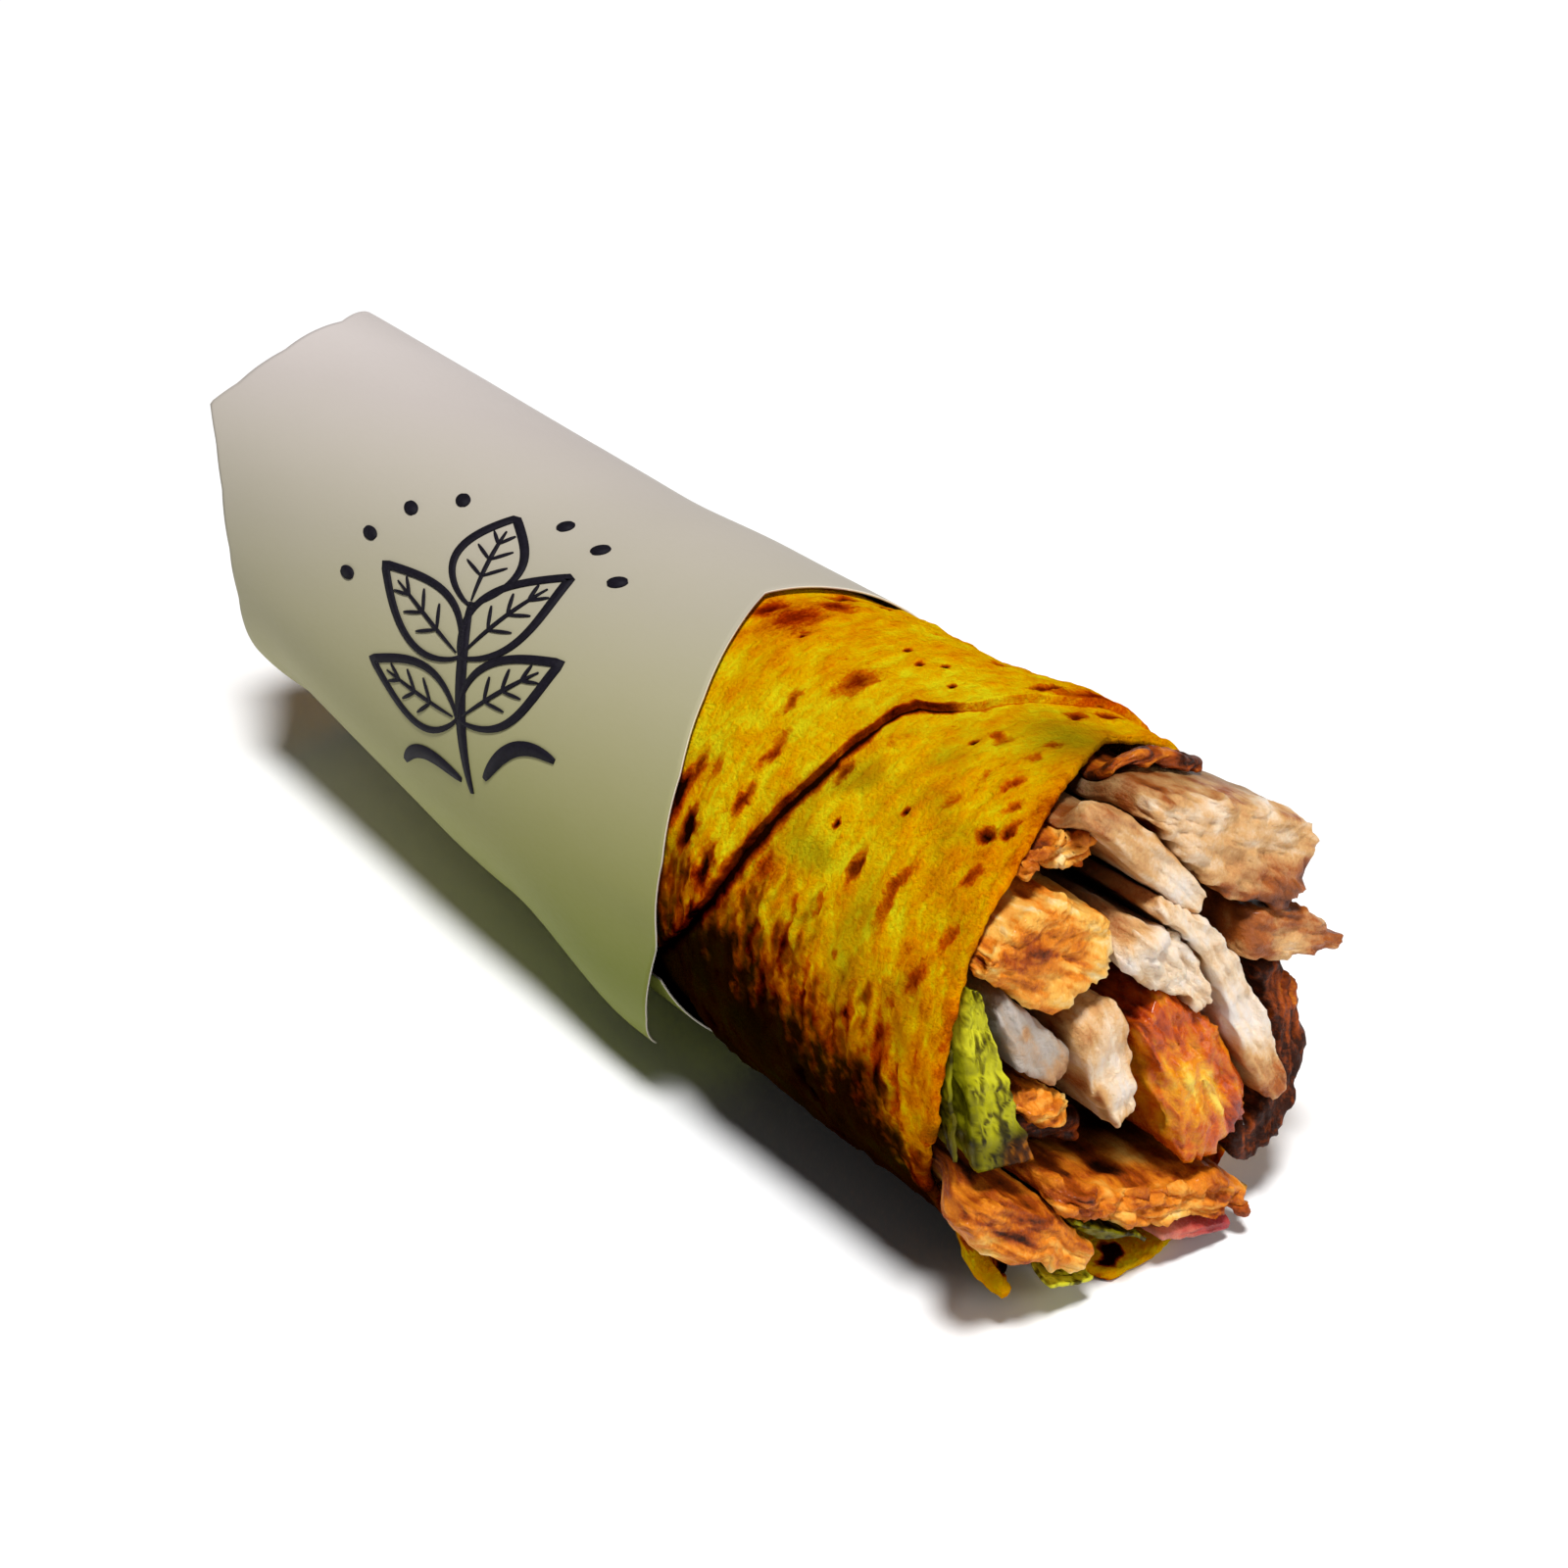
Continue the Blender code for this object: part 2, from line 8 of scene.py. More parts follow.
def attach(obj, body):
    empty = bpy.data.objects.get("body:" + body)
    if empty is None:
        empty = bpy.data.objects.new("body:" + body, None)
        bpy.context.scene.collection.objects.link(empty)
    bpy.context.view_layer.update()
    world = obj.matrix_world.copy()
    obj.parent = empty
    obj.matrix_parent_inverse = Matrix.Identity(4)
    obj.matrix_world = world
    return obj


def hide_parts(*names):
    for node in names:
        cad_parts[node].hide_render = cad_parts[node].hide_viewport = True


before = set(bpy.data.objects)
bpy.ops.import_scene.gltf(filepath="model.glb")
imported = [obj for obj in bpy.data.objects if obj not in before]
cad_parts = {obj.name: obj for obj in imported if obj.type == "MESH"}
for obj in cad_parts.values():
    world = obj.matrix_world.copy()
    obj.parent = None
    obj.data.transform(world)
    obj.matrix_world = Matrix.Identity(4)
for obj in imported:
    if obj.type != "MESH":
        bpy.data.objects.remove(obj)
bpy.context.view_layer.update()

# Gyro wrap: a finely detailed piece for each solid, on the same named sizes.
# Lengths are millimetres and angles degrees until a vertex is made; angle 0 is the top of the roll
# and grows towards -Y. Lights and camera are placed in metres.

DENSITY = 1.0
MM = 0.001

# The roll's section, as in the part
ROLL_RADIUS = 30.8
TAPER_START = -10.5
TAPER_SLOPE = 0.045
TAIL_START = -20.0
TAIL_SLOPE = 0.14
BEND_HALF = 9.0
NECK_START = 38.0
NECK_LENGTH = 32.0
NECK_DEPTH = 0.4
SAG = 0.5

# Paper
LAP_START = -247.0
LAP_END = 136.0
LAP_INSET = 0.95
JOG_FROM = -219.0
JOG_TO = -205.0
CORNER_FLARE = 4.6
FLARE_START = -12.0
FLARE_LENGTH = 34.0
FLARE_ANGLE = 92.0
TAIL_CORNER_FLARE = 1.4
TAIL_FLARE_START = -70.0
TAIL_FLARE_LENGTH = 16.0
SHEET = 0.28
PAPER_BACK = (
    (-247, -85), (-205, -87), (-150, -92), (-90, -101), (-55, -109), (-35, -112), (-8, -100.5), (18, -97.3),
    (37, -98.6), (48, -101.4), (57, -94.6), (68, -88.6), (84, -83.8), (100, -82.6), (136, -88),
)
PAPER_FRONT = (
    (-247, 30), (-205, 31), (-150, 31), (-90, 28), (-45, 22.5), (-16, 19.5), (2, 17.6), (17, 22),
    (36, 27.4), (54, 31.7), (74, 34.2), (97, 34), (120, 29.5), (136, 24.5),
)

# The paper's colour, darkening partly as painted shade, along one direction: that direction, its first value
# and its length
GRADE_WAY = np.array((0.21, -0.513, -0.878))
GRADE_START = -77.0
GRADE_LENGTH = 82.0

# Leaf sprig printed on the paper: its place, and how much x and arc a step right or up in its drawing takes
SPRIG_X = -15.0
SPRIG_ANGLE = 55.0
SPRIG_LEFT = 3.4
SPRIG_RIGHT_STEP = (1.37, -0.587)
SPRIG_UP_STEP = (-0.705, -0.94)
STROKE_STEP = 0.6
INK_SPREAD = 0.6
INK_LIFT = 0.18
INK_THICK = 0.14

# Flatbread: its surfaces, then its sizes
CLOSED, UNDER, LIP, OVER, RIM, INNER = range(6)
BARE = 0.15
UNDER_PAPER = 1.05
UNDER_LAP = 1.95
LAP_ANGLES = (88.0, 102.0, 158.0, 168.0)
BARE_START = 1.5
BARE_LENGTH = 7.0
INNER_INSET_BACK = 4.2
INNER_INSET_FRONT = 2.25
THIN_START = 36.0
THIN_LENGTH = 26.0
STEP = 0.9
END_AVERAGE = 16.0
END_GAP = 6.0
END_TURN = 6.0
END_POKE = 8.5
END_POKE_ANGLE = 17.0
END_POKE_WIDTH = 14.0
END_FOLDS = 3
FRONT_DROOP = 1.0
DROOP_START = 44.0
DROOP_LENGTH = 12.0
TONGUE_ANGLE = 138.0
TONGUE_WIDTH = 9.0
TONGUE_FLARE = 4.2
TONGUE_START = 79.0
TONGUE_LENGTH = 9.0
FAR_ANGLE = -44.0
FAR_WIDTH = 15.0
FAR_FLARE = 2.6
FAR_START = 43.0
FAR_LENGTH = 13.0
INNER_END = 10.0
SEAM = (
    (-180, 41), (-150, 50), (-120, 60), (-90, 66), (-60, 64), (-35, 60), (-18, 57.5), (-2, 57), (5, 55.2),
    (8.5, 52.2), (13, 51.4), (23, 51), (35, 50.5), (46, 48.9), (59, 47), (75, 43.4), (89, 38), (98, 33),
    (108, 28), (120, 26), (150, 32),
)
BREAD_RIM = (
    (-180, 93), (-150, 89), (-120, 82), (-90, 77), (-60, 73), (-48, 70), (-36, 69), (-23, 68.5), (-2, 74.1),
    (19, 79.6), (32, 81.9), (51, 83.5), (70, 85.4), (93, 85.6), (121, 80.3), (136, 92), (150, 82.5),
    (166, 92.5),
)

# Toasted spots of the bread: angle, x, half size round the roll, half size along it, depth of colour
SPOTS = (
    (13, 43.6, 3.6, 2.2, 0.75), (26, 39.4, 2.2, 1.2, 0.7), (38, 42.7, 3.6, 1.1, 0.7),
    (51, 43.3, 2.4, 0.9, 0.85), (64, 36.5, 3, 1.5, 1.3), (58, 32.2, 3.6, 1.3, 1.3),
    (48, 36.5, 2.6, 1.6, 0.5), (51, 33.2, 3.4, 1.3, 0.8), (5, 19.8, 3, 1.8, 0.85), (3, 25.4, 4.4, 3.6, 0.6),
    (-8, 25.6, 2, 3.4, 0.8), (11, 45.6, 1.2, 0.9, 0.5), (33, 52.9, 2, 1.1, 0.75),
    (21, 54.6, 1.2, 0.9, 0.45), (50, 63.2, 2.6, 0.9, 0.9), (50, 70.1, 5.6, 1.2, 0.65),
    (61, 60.6, 2.6, 0.6, 0.6), (71, 57.4, 5, 0.6, 0.7), (3, 63.5, 1.4, 1.7, 0.6),
    (-5, 68.8, 1.3, 1.2, 0.65), (3, 69.4, 1.4, 1.2, 0.5), (15, 68.3, 1.5, 1.1, 0.45), (13, 72, 1.7, 1, 0.7),
    (25, 68, 1.9, 1.2, 0.45), (19, 75, 1.9, 0.9, 0.7), (28, 75.6, 1.5, 1, 1), (24, 77.3, 1.5, 0.8, 0.95),
    (38, 78.3, 1.9, 0.9, 0.75), (51, 80, 2.2, 1.1, 0.6), (63, 78.9, 3, 1.6, 0.5), (61, 50.3, 3.4, 2, 0.6),
    (69, 42, 3, 1.5, 1.1), (76, 52, 4, 0.8, 0.6), (82, 62, 5, 0.9, 0.6), (79, 70, 4, 1, 0.5),
    (90, 55, 6, 1.1, 0.6), (83, 76, 5.5, 2, 0.6), (91, 79.5, 5, 1.2, 0.5),
)
# Spots too small or too hidden to place: how many, then the ranges of the same five values
SCATTERED_SPOTS = (
    (120, (105, 345), (10, 90), (0.9, 3.4), (0.6, 1.4), (0.35, 1.0)),
    (26, (-15, 100), (22, 84), (0.5, 1.3), (0.35, 0.7), (0.3, 0.6)),
)
# Painted shade on the bread's low side starts at this angle, by x
DARK_X = (40, 45, 62, 76, 82, 88)
DARK_ANGLE = (66, 71, 83, 88, 112, 130)
PINHOLES = (
    (-3, 45.3), (-8, 47.1), (-6, 41.1), (8, 29.9), (33, 64.2), (-2, 52), (44, 57), (8, 62),
)

# Open face of the filling
FACE = 96.0
FACE_LEAN = 0.2
FACE_CENTRE = 30.4
FACE_RADIUS = 31.3
FILL_START = -60.0
FILL_GAP = 0.75
FLOOR_GAP = 0.3
RIM_CLEAR = 0.6
SPLAY_LENGTH = 6.0
POWER_BACK = 3.0
POWER_FRONT = 6.0
POWER_START = 55.0
POWER_LENGTH = 25.0
END_ROUND = 1.2
SQUARENESS = 0.62
EDGE_WIDTH = 1.9
FIBRE_STRETCH = 0.86

# Filling: spine as (y, z, half thickness), how far the end stands out, raggedness, palette, tone, coarseness
# of the surface, direction of the fibres on the open face, soft patches of tone as (y, z, radius, change),
# browning of the edge, and where it starts along the roll
STRIPS = {
    "chicken_slab_top": (
        ((4.4, 57.2, 1.7), (11.4, 52.2, 4.5), (17, 48.6, 5.7), (21.8, 46.2, 5.4)), 1.5, 1.2, "pale", 0.38,
        0.4, (0.85, -0.5), ((20, 41.5, 3.2, 0.4), (25.5, 40.5, 3.4, 0.35), (11, 45.5, 2.4, 0.2),
        (6.5, 60, 2.4, 0.28), (12.5, 55.5, 2.4, -0.14), (23, 51, 3, -0.08), (15, 44, 3, 0.16),
        (21, 44.5, 4.2, 0.14)), 0.3,
    ),
    "chicken_flap_far": (
        ((18.6, 37.6, 2.9), (24, 35.9, 3.1), (30.6, 32.6, 0.9)), 1, 1, "pale", 0.54, 0.4, (0.9, -0.4),
        ((24, 39.5, 2.6, 0.22), (22, 34, 2.4, -0.14), (30, 33, 2, 0.16), (17, 37, 2, 0.2)), 0.25,
    ),
    "chicken_strip_pale": (
        ((-6.2, 60.2, 1.3), (-1, 56, 2.2), (4, 50.2, 2.4), (8.2, 45.6, 1.6)), 1, 0.5, "pale", 0.28, 0.3,
        (0.7, -0.7), ((-6, 60, 4.5, 0.28), (5.5, 48, 3.2, -0.16), (0.5, 57.5, 2.4, 0.16),
        (0, 52.5, 2.4, 0.24)),
    ),
    "chicken_top_browned": (
        ((4.6, 60.4, 0.6), (9.3, 59.3, 0.7), (14, 57.4, 0.7), (17.8, 55.6, 0.5)), -7, 0.8, "crisp", 0.85,
        0.4, (1, 0), ((8, 60, 2.5, -0.2),), 0.12, 30,
    ),
    "chicken_crisp_bits": (
        ((-14.3, 57.6, 1.3), (-9.8, 57.2, 2), (-5.8, 55, 1.6)), -3, 1.6, "crisp", 0.55, 0.8, (1, 0),
        ((-13, 59, 2.4, 0.22), (-8, 55.5, 2, -0.25)), 0.12, 40,
    ),
    "chicken_slab_left": (
        ((-24.2, 48.8, 1.4), (-18, 47.6, 4.5), (-12, 45, 6.8), (-8.2, 44.4, 4.2)), 0, 1, "crisp", 0.46, 0.5,
        (0.8, -0.5), ((-3.5, 42, 5, -0.42), (-8, 50, 4, -0.1), (-16, 47, 3.2, 0.26), (-21, 45, 4, 0.06),
        (-14, 51.5, 2.4, -0.12), (-9, 46.5, 2.2, 0.2), (-12, 40, 3.4, -0.05)), 0,
    ),
    "chicken_pale_low": (
        ((-6.4, 33, 3.5), (-5.4, 28, 3.5), (-4.4, 23.4, 2)), -0.5, 0.8, "pale", 0.2, 0.35, (0.15, -1),
        ((-9, 34, 3, 0.3), (-2.5, 34, 2.2, 0.26), (-4.5, 25, 2.6, -0.1), (-9, 26, 2.6, 0.42),
        (-4.4, 21, 2.4, 0.3)),
    ),
    "chicken_grey_slice": (
        ((-19.8, 40.8, 1.5), (-16.8, 35.2, 2.9), (-13, 31.6, 2.4)), -1.5, 0.5, "grey", 0.3, 0.2,
        (0.4, -0.9), ((-13, 30.5, 2.6, 0.4), (-18.5, 39, 2.4, -0.12), (-17.5, 37.3, 0.9, 0.4)),
    ),
    "chicken_browned_edge": (
        ((-16.8, 27.8, 1.5), (-12.9, 25.4, 1.5)), -1.5, 1.4, "crisp", 0.52, 0.6, (1, 0),
        ((-13, 24, 1.8, -0.3), (-17, 28, 1.6, 0.1)),
    ),
    "chicken_centre": (
        ((-0.8, 42.6, 2.6), (2.2, 40.2, 3.1), (6, 36.6, 2), (7.3, 33.4, 0.9)), 1.5, 1.3, "pale", 0.16, 0.45,
        (0.5, -0.85), ((-3, 46, 3, 0.3), (8, 39, 2, 0.34), (-2, 38.5, 2.2, 0.26), (5, 33, 2.4, 0.1)),
    ),
    "chicken_curl": (
        ((2.6, 46.4, 0.9), (8.2, 41.6, 1.5), (11.8, 35.5, 1.9), (14.7, 28, 2.6), (16.4, 23.2, 2.4),
        (18, 19, 1.6)), 2, 0.8, "pale", 0.12, 0.3, (0.4, -0.9), ((18, 19.5, 4, 0.62), (3, 46, 4, 0.3),
        (15, 29, 3, -0.1), (12.5, 23, 2.6, 0.4), (9, 39, 2, 0.24)),
    ),
    "glazed_chunk": (
        ((2.2, 31.8, 3.4), (5.6, 25.7, 5.2), (7.8, 19.4, 5.7)), 1, 1.2, "glaze", 0.5, 0.5, (0.4, -0.9),
        ((5, 24.5, 3.4, -0.36), (2, 33, 3.4, 0.2), (9, 28, 3, 0.16), (3, 19, 3.2, -0.12), (11, 17, 3, 0.12),
        (8, 20.5, 2, -0.2)),
    ),
    "chicken_inner_top": (
        ((-16.8, 55, 0.8), (-11.6, 53.8, 0.7)), -8, 0.6, "crisp", 0.66, 0.4, (1, 0), (), 0.12, 15,
    ),
    # chicken_inner_left and chicken_inner_far in the darkest tone: painted shade of the filling's dark inside
    "chicken_inner_left": (
        ((-13.6, 20.9, 1.4), (-6.5, 18.2, 1.6)), -8, 0.6, "crisp", 1, 0.4,
    ),
    "chicken_inner_far": (
        ((16.4, 10.6, 2.4), (21.4, 13.4, 2.4), (24.2, 19, 2), (23.8, 26, 2.4), (21.6, 30.6, 1.8)), -1.5,
        0.8, "crisp", 1, 0.5, (0, 1), ((24, 27, 3, -0.12),),
    ),
    "chicken_ragged_low": (
        ((-15, 16.4, 1.2), (-8, 12.6, 1.8), (0, 9, 2.2), (8, 7.3, 2.3), (12.4, 5.2, 1.3)), 0.5, 1.8,
        "crisp", 0.5, 0.55, (0.95, -0.3), ((-13, 16, 3.4, 0.3), (-5, 13.5, 2.6, 0.16), (2, 7.5, 3.4, -0.12),
        (11, 5, 3, 0.18), (6, 9.6, 2.6, 0.14), (-6, 10.5, 2.2, -0.14)),
    ),
    "onion_strip": (
        ((-0.6, 4.6, 0.6), (5, 3.2, 0.7), (10, 2.6, 0.6)), 0, 0.3, "pink", 0.45, 0.2, (1, -0.1),
        ((0, 4.4, 3.5, -0.3), (9, 2.8, 3, 0.3)),
    ),
    "chicken_slab_low": (
        ((-27.8, 18.8, 1.6), (-24, 16, 3.3), (-18.5, 12, 3.6), (-13.2, 8.2, 1.6)), 0, 1, "crisp", 0.6, 0.45,
        (0.8, -0.6), ((-26.5, 14.2, 2.6, -0.3), (-20.5, 8.8, 3.4, -0.3), (-14.5, 6.6, 2.4, -0.25),
        (-22, 14.5, 3.4, 0.26), (-18, 15.5, 2.6, -0.08)), 0.1,
    ),
}

# Leaves: section curve as (y, z), how far the end stands out, start along the roll, tone, patches of tone,
# and the width of the turned front edge along the curve, with the way that it turns
LEAVES = {
    # lettuce_near's darker patches near y -27 are painted shade down the leaf's left part
    "lettuce_near": (
        ((-25.6, 45.4), (-26.2, 40), (-26.4, 34), (-25.9, 28), (-24.8, 22.8)), -2.6, 30, 0.16,
        ((-19.5, 23, 4.2, 0.8), (-27.4, 35, 2, 0.32), (-20.5, 40, 4, -0.12), (-27, 30, 2.3, 0.42),
        (-26.2, 25, 2.3, 0.36)), (1, 3.4, 5.4, 6.2, 7), (1, -0.1),
    ),
    "lettuce_outer": (
        ((-29.6, 38.6), (-30.2, 31), (-28.8, 24.6)), -3, 40, 0.5, ((-29.5, 27, 4, 0.1),),
    ),
    "lettuce_low": (
        ((-13.7, 12.9), (-10.6, 9.9), (-6.3, 6.8), (-3.2, 5.2)), -1.5, 30, 0.46, ((-14, 13.5, 2, -0.2),),
        (0.3, 1.2, 1.4, 0.4), (0.5, 0.86),
    ),
    "lettuce_bit_low": (
        ((-17.4, 6.1), (-14, 5), (-11, 4.4)), -1, 60, 0.05,
    ),
    "lettuce_far": (
        ((14.3, 40.8), (14.8, 36), (17.2, 31.4)), -6, 20, 0.5,
    ),
}
LEAF_THICK = 0.45

# Light and camera
AMBIENT = 0.06
KEY = 3.6
KEY_SOFT = 14.0
KEY_FROM = (0.20, -0.14, 0.97)
END_LIGHT = 0.23
END_LIGHT_SIZE = 0.14
END_LIGHT_AT = (0.32, 0.08, 0.13)
END_LIGHT_TO = (0.09, 0.0, 0.03)
FLOOR_HALF = 6.0
CAMERA_AZ = 52.6
CAMERA_EL = 28.6
CAMERA_AT = (0.2740, -0.1941, 0.2080)
CAMERA_LENS = 62.94


def smooth(t):
    t = np.clip(t, 0.0, 1.0)
    return t * t * (3 - 2 * t)


def bell(value, middle, width):
    return np.exp(-(((value - middle) / width) ** 2))


def ramp(t, half):
    return np.where(t < -half, 0.0, np.where(t > half, t, (t + half) ** 2 / (4 * half)))


def roll_radius(x):
    neck = NECK_DEPTH * smooth((x - NECK_START) / NECK_LENGTH)
    return ROLL_RADIUS - TAPER_SLOPE * ramp(TAPER_START - x, BEND_HALF) - neck


def tail_height(x):
    return TAIL_SLOPE * ramp(TAIL_START - x, BEND_HALF)


def axis_height(x):
    return tail_height(x) + roll_radius(x) - SAG


def wrap_angle(angle):
    return (angle + 180.0) % 360.0 - 180.0


def arc_from(angle, start):
    return wrap_angle(angle - start) * math.pi / 180 * ROLL_RADIUS


def edge_x(pairs, angle):
    a = np.array([p[0] for p in pairs] + [pairs[0][0] + 360.0], float)
    x = np.array([p[1] for p in pairs] + [pairs[0][1]], float)
    return np.interp(wrap_angle(angle), a, x)


def paper_edge(pairs, angle):
    return np.interp(angle, [p[0] for p in pairs], [p[1] for p in pairs])


def section(x, angle, inset, droop=0.0):
    """Points of the roll's section, inset from its skin, with the flat strip that it rests on."""
    rad = np.radians(angle)
    r = roll_radius(x) - inset
    z = np.maximum(axis_height(x) + r * np.cos(rad), tail_height(x) + np.maximum(inset, 0.0))
    z = z - droop * np.maximum(0.0, -np.cos(rad)) ** 2
    return np.stack([x + 0 * r, -r * np.sin(rad), z], -1)


# Noise


def hashed(i, j, k, seed):
    h = (i * 374761393 + j * 668265263 + k * 2246822519 + seed * 3266489917) & 0xFFFFFFFF
    h = ((h ^ (h >> 15)) * 2246822519) & 0xFFFFFFFF
    h = ((h ^ (h >> 13)) * 3266489917) & 0xFFFFFFFF
    return h ^ (h >> 16)


def noise(points, scale, seed):
    """Gradient noise from -1 to 1 of points (n, 3); scale is a length or three."""
    q = np.asarray(points, float) / scale + 1000.0
    cell = np.floor(q).astype(np.int64)
    f = q - cell
    w = f * f * f * (f * (f * 6 - 15) + 10)
    total = np.zeros(len(q))
    for dx in (0, 1):
        wx = w[:, 0] if dx else 1 - w[:, 0]
        for dy in (0, 1):
            wy = w[:, 1] if dy else 1 - w[:, 1]
            for dz in (0, 1):
                wz = w[:, 2] if dz else 1 - w[:, 2]
                h = hashed(cell[:, 0] + dx, cell[:, 1] + dy, cell[:, 2] + dz, seed)
                dot = 0.0
                for axis, d in enumerate((dx, dy, dz)):
                    dot = dot + (((h >> 10 * axis) & 1023) / 511.5 - 1) * (f[:, axis] - d)
                total += wx * wy * wz * dot
    return np.clip(total * 1.4, -1, 1)


def fbm(points, scale, octaves, seed):
    scale = np.asarray(scale, float)
    total = 0.0
    weight = 1.0
    whole = 0.0
    for k in range(octaves):
        total = total + weight * noise(points, scale / 2 ** k, seed + 17 * k)
        whole += weight
        weight *= 0.55
    return total / whole


def ridges(points, scale, octaves, seed):
    return 1 - 2 * np.abs(fbm(points, scale, octaves, seed))


# Meshes and objects


def add_object(name, data):
    obj = bpy.data.objects.new(name, data)
    bpy.context.scene.collection.objects.link(obj)
    return obj


def thicken(obj, thickness, offset):
    modifier = obj.modifiers.new("thickness", "SOLIDIFY")
    modifier.thickness = thickness * MM
    modifier.offset = offset
    return modifier


def grid_quads(rows, columns, closed):
    i = np.arange(rows - 1)[:, None]
    j = np.arange(columns if closed else columns - 1)[None, :]
    k = (j + 1) % columns
    quads = np.stack([i * columns + j, i * columns + k, (i + 1) * columns + k, (i + 1) * columns + j], -1)
    return quads.reshape(-1, 4)


def face_cross(verts, quads):
    a = verts[quads[:, 2]] - verts[quads[:, 0]]
    b = verts[quads[:, 3]] - verts[quads[:, 1]]
    return np.cross(a, b)


def normals_of(verts, quads):
    """Unit vertex normals of quads; a repeated corner makes a triangle."""
    cross = face_cross(verts, quads)
    out = np.zeros_like(verts)
    for c in range(4):
        for axis in range(3):
            out[:, axis] += np.bincount(quads[:, c], weights=cross[:, axis], minlength=len(verts))
    return out / np.maximum(np.linalg.norm(out, axis=1), 1e-9)[:, None]


def facing_out(verts, quads):
    """Turns the faces so that a closed mesh faces out."""
    centre = verts[quads].mean(1)
    volume = (face_cross(verts, quads) * (centre - verts.mean(0))).sum()
    return quads if volume > 0 else quads[:, ::-1]


def make_object(name, verts, quads, material, node, values):
    faces = [tuple(dict.fromkeys(q)) for q in quads.tolist()]
    mesh = bpy.data.meshes.new(name)
    mesh.from_pydata((verts * MM).tolist(), [], [f for f in faces if len(f) > 2])
    mesh.validate()
    mesh.polygons.foreach_set("use_smooth", [True] * len(mesh.polygons))
    for key, data in values.items():
        layer = mesh.attributes.new(key, "FLOAT", "POINT")
        layer.data.foreach_set("value", np.asarray(data, np.float32))
    mesh.materials.append(material)
    obj = add_object(name, mesh)
    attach(obj, "root")
    if node:
        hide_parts(node)
    return obj


# Materials


def linear(rgb):
    """An 8-bit screen colour as a linear one with alpha."""
    return tuple(((c / 255 + 0.055) / 1.055) ** 2.4 if c > 10 else c / 255 / 12.92 for c in rgb) + (1.0,)


class Nodes:
    """A material's node tree with short ways to add nodes."""

    def __init__(self, name):
        self.material = bpy.data.materials.new(name)
        self.material.use_nodes = True
        self.tree = self.material.node_tree
        self.shader = self.tree.nodes["Principled BSDF"]
        self.coords = self.tree.nodes.new("ShaderNodeTexCoord").outputs["Object"]

    def link(self, a, b):
        self.tree.links.new(a, b)

    def attribute(self, name):
        node = self.tree.nodes.new("ShaderNodeAttribute")
        node.attribute_name = name
        return node.outputs["Fac"]

    def noise(self, scale, detail=4.0, stretch=None, rough=0.6):
        node = self.tree.nodes.new("ShaderNodeTexNoise")
        node.inputs["Scale"].default_value = scale
        node.inputs["Detail"].default_value = detail
        node.inputs["Roughness"].default_value = rough
        coords = self.coords
        if stretch:
            mapping = self.tree.nodes.new("ShaderNodeMapping")
            mapping.inputs["Scale"].default_value = stretch
            self.link(coords, mapping.inputs["Vector"])
            coords = mapping.outputs["Vector"]
        self.link(coords, node.inputs["Vector"])
        return node.outputs["Fac"]

    def math(self, operation, a, b=None, c=None, clamp=False):
        node = self.tree.nodes.new("ShaderNodeMath")
        node.operation = operation
        node.use_clamp = clamp
        for socket, value in zip(node.inputs, (a, b, c)):
            if value is None:
                continue
            if isinstance(value, (int, float)):
                socket.default_value = value
            else:
                self.link(value, socket)
        return node.outputs[0]

    def vary(self, base, pattern, amount, clamp=False):
        """The base value, moved up and down by a pattern from 0 to 1."""
        change = self.math("MULTIPLY", self.math("SUBTRACT", pattern, 0.5), amount)
        return self.math("ADD", base, change, clamp=clamp)

    def scaled(self, pattern, factor, start):
        return self.math("ADD", self.math("MULTIPLY", pattern, factor), start)

    def ramp(self, fac, stops):
        node = self.tree.nodes.new("ShaderNodeValToRGB")
        elements = node.color_ramp.elements
        while len(elements) < len(stops):
            elements.new(0.5)
        for element, (place, rgb) in zip(elements, stops):
            element.position = place
            element.color = linear(rgb)
        self.link(fac, node.inputs["Fac"])
        return node.outputs["Color"]

    def mix(self, fac, a, b, blend="MIX"):
        node = self.tree.nodes.new("ShaderNodeMix")
        node.data_type = "RGBA"
        node.blend_type = blend
        for socket, value in ((node.inputs[0], fac), (node.inputs[6], a), (node.inputs[7], b)):
            if isinstance(value, (float, tuple)):
                socket.default_value = value
            else:
                self.link(value, socket)
        return node.outputs[2]

    def multiply(self, colour, stops, fac):
        return self.mix(1.0, colour, self.ramp(fac, stops), "MULTIPLY")

    def bump(self, height, strength, distance):
        node = self.tree.nodes.new("ShaderNodeBump")
        node.inputs["Strength"].default_value = strength
        node.inputs["Distance"].default_value = distance
        self.link(height, node.inputs["Height"])
        self.link(node.outputs["Normal"], self.shader.inputs["Normal"])

    def finish(self, colour, rough, specular=0.5, coat=0.0, subsurface=0.0):
        self.link(colour, self.shader.inputs["Base Color"])
        if isinstance(rough, float):
            self.shader.inputs["Roughness"].default_value = rough
        else:
            self.link(rough, self.shader.inputs["Roughness"])
        self.shader.inputs["Specular IOR Level"].default_value = specular
        self.shader.inputs["Coat Weight"].default_value = coat
        self.shader.inputs["Coat Roughness"].default_value = 0.12
        self.shader.inputs["Subsurface Weight"].default_value = subsurface
        self.shader.inputs["Subsurface Scale"].default_value = 0.003
        return self.material


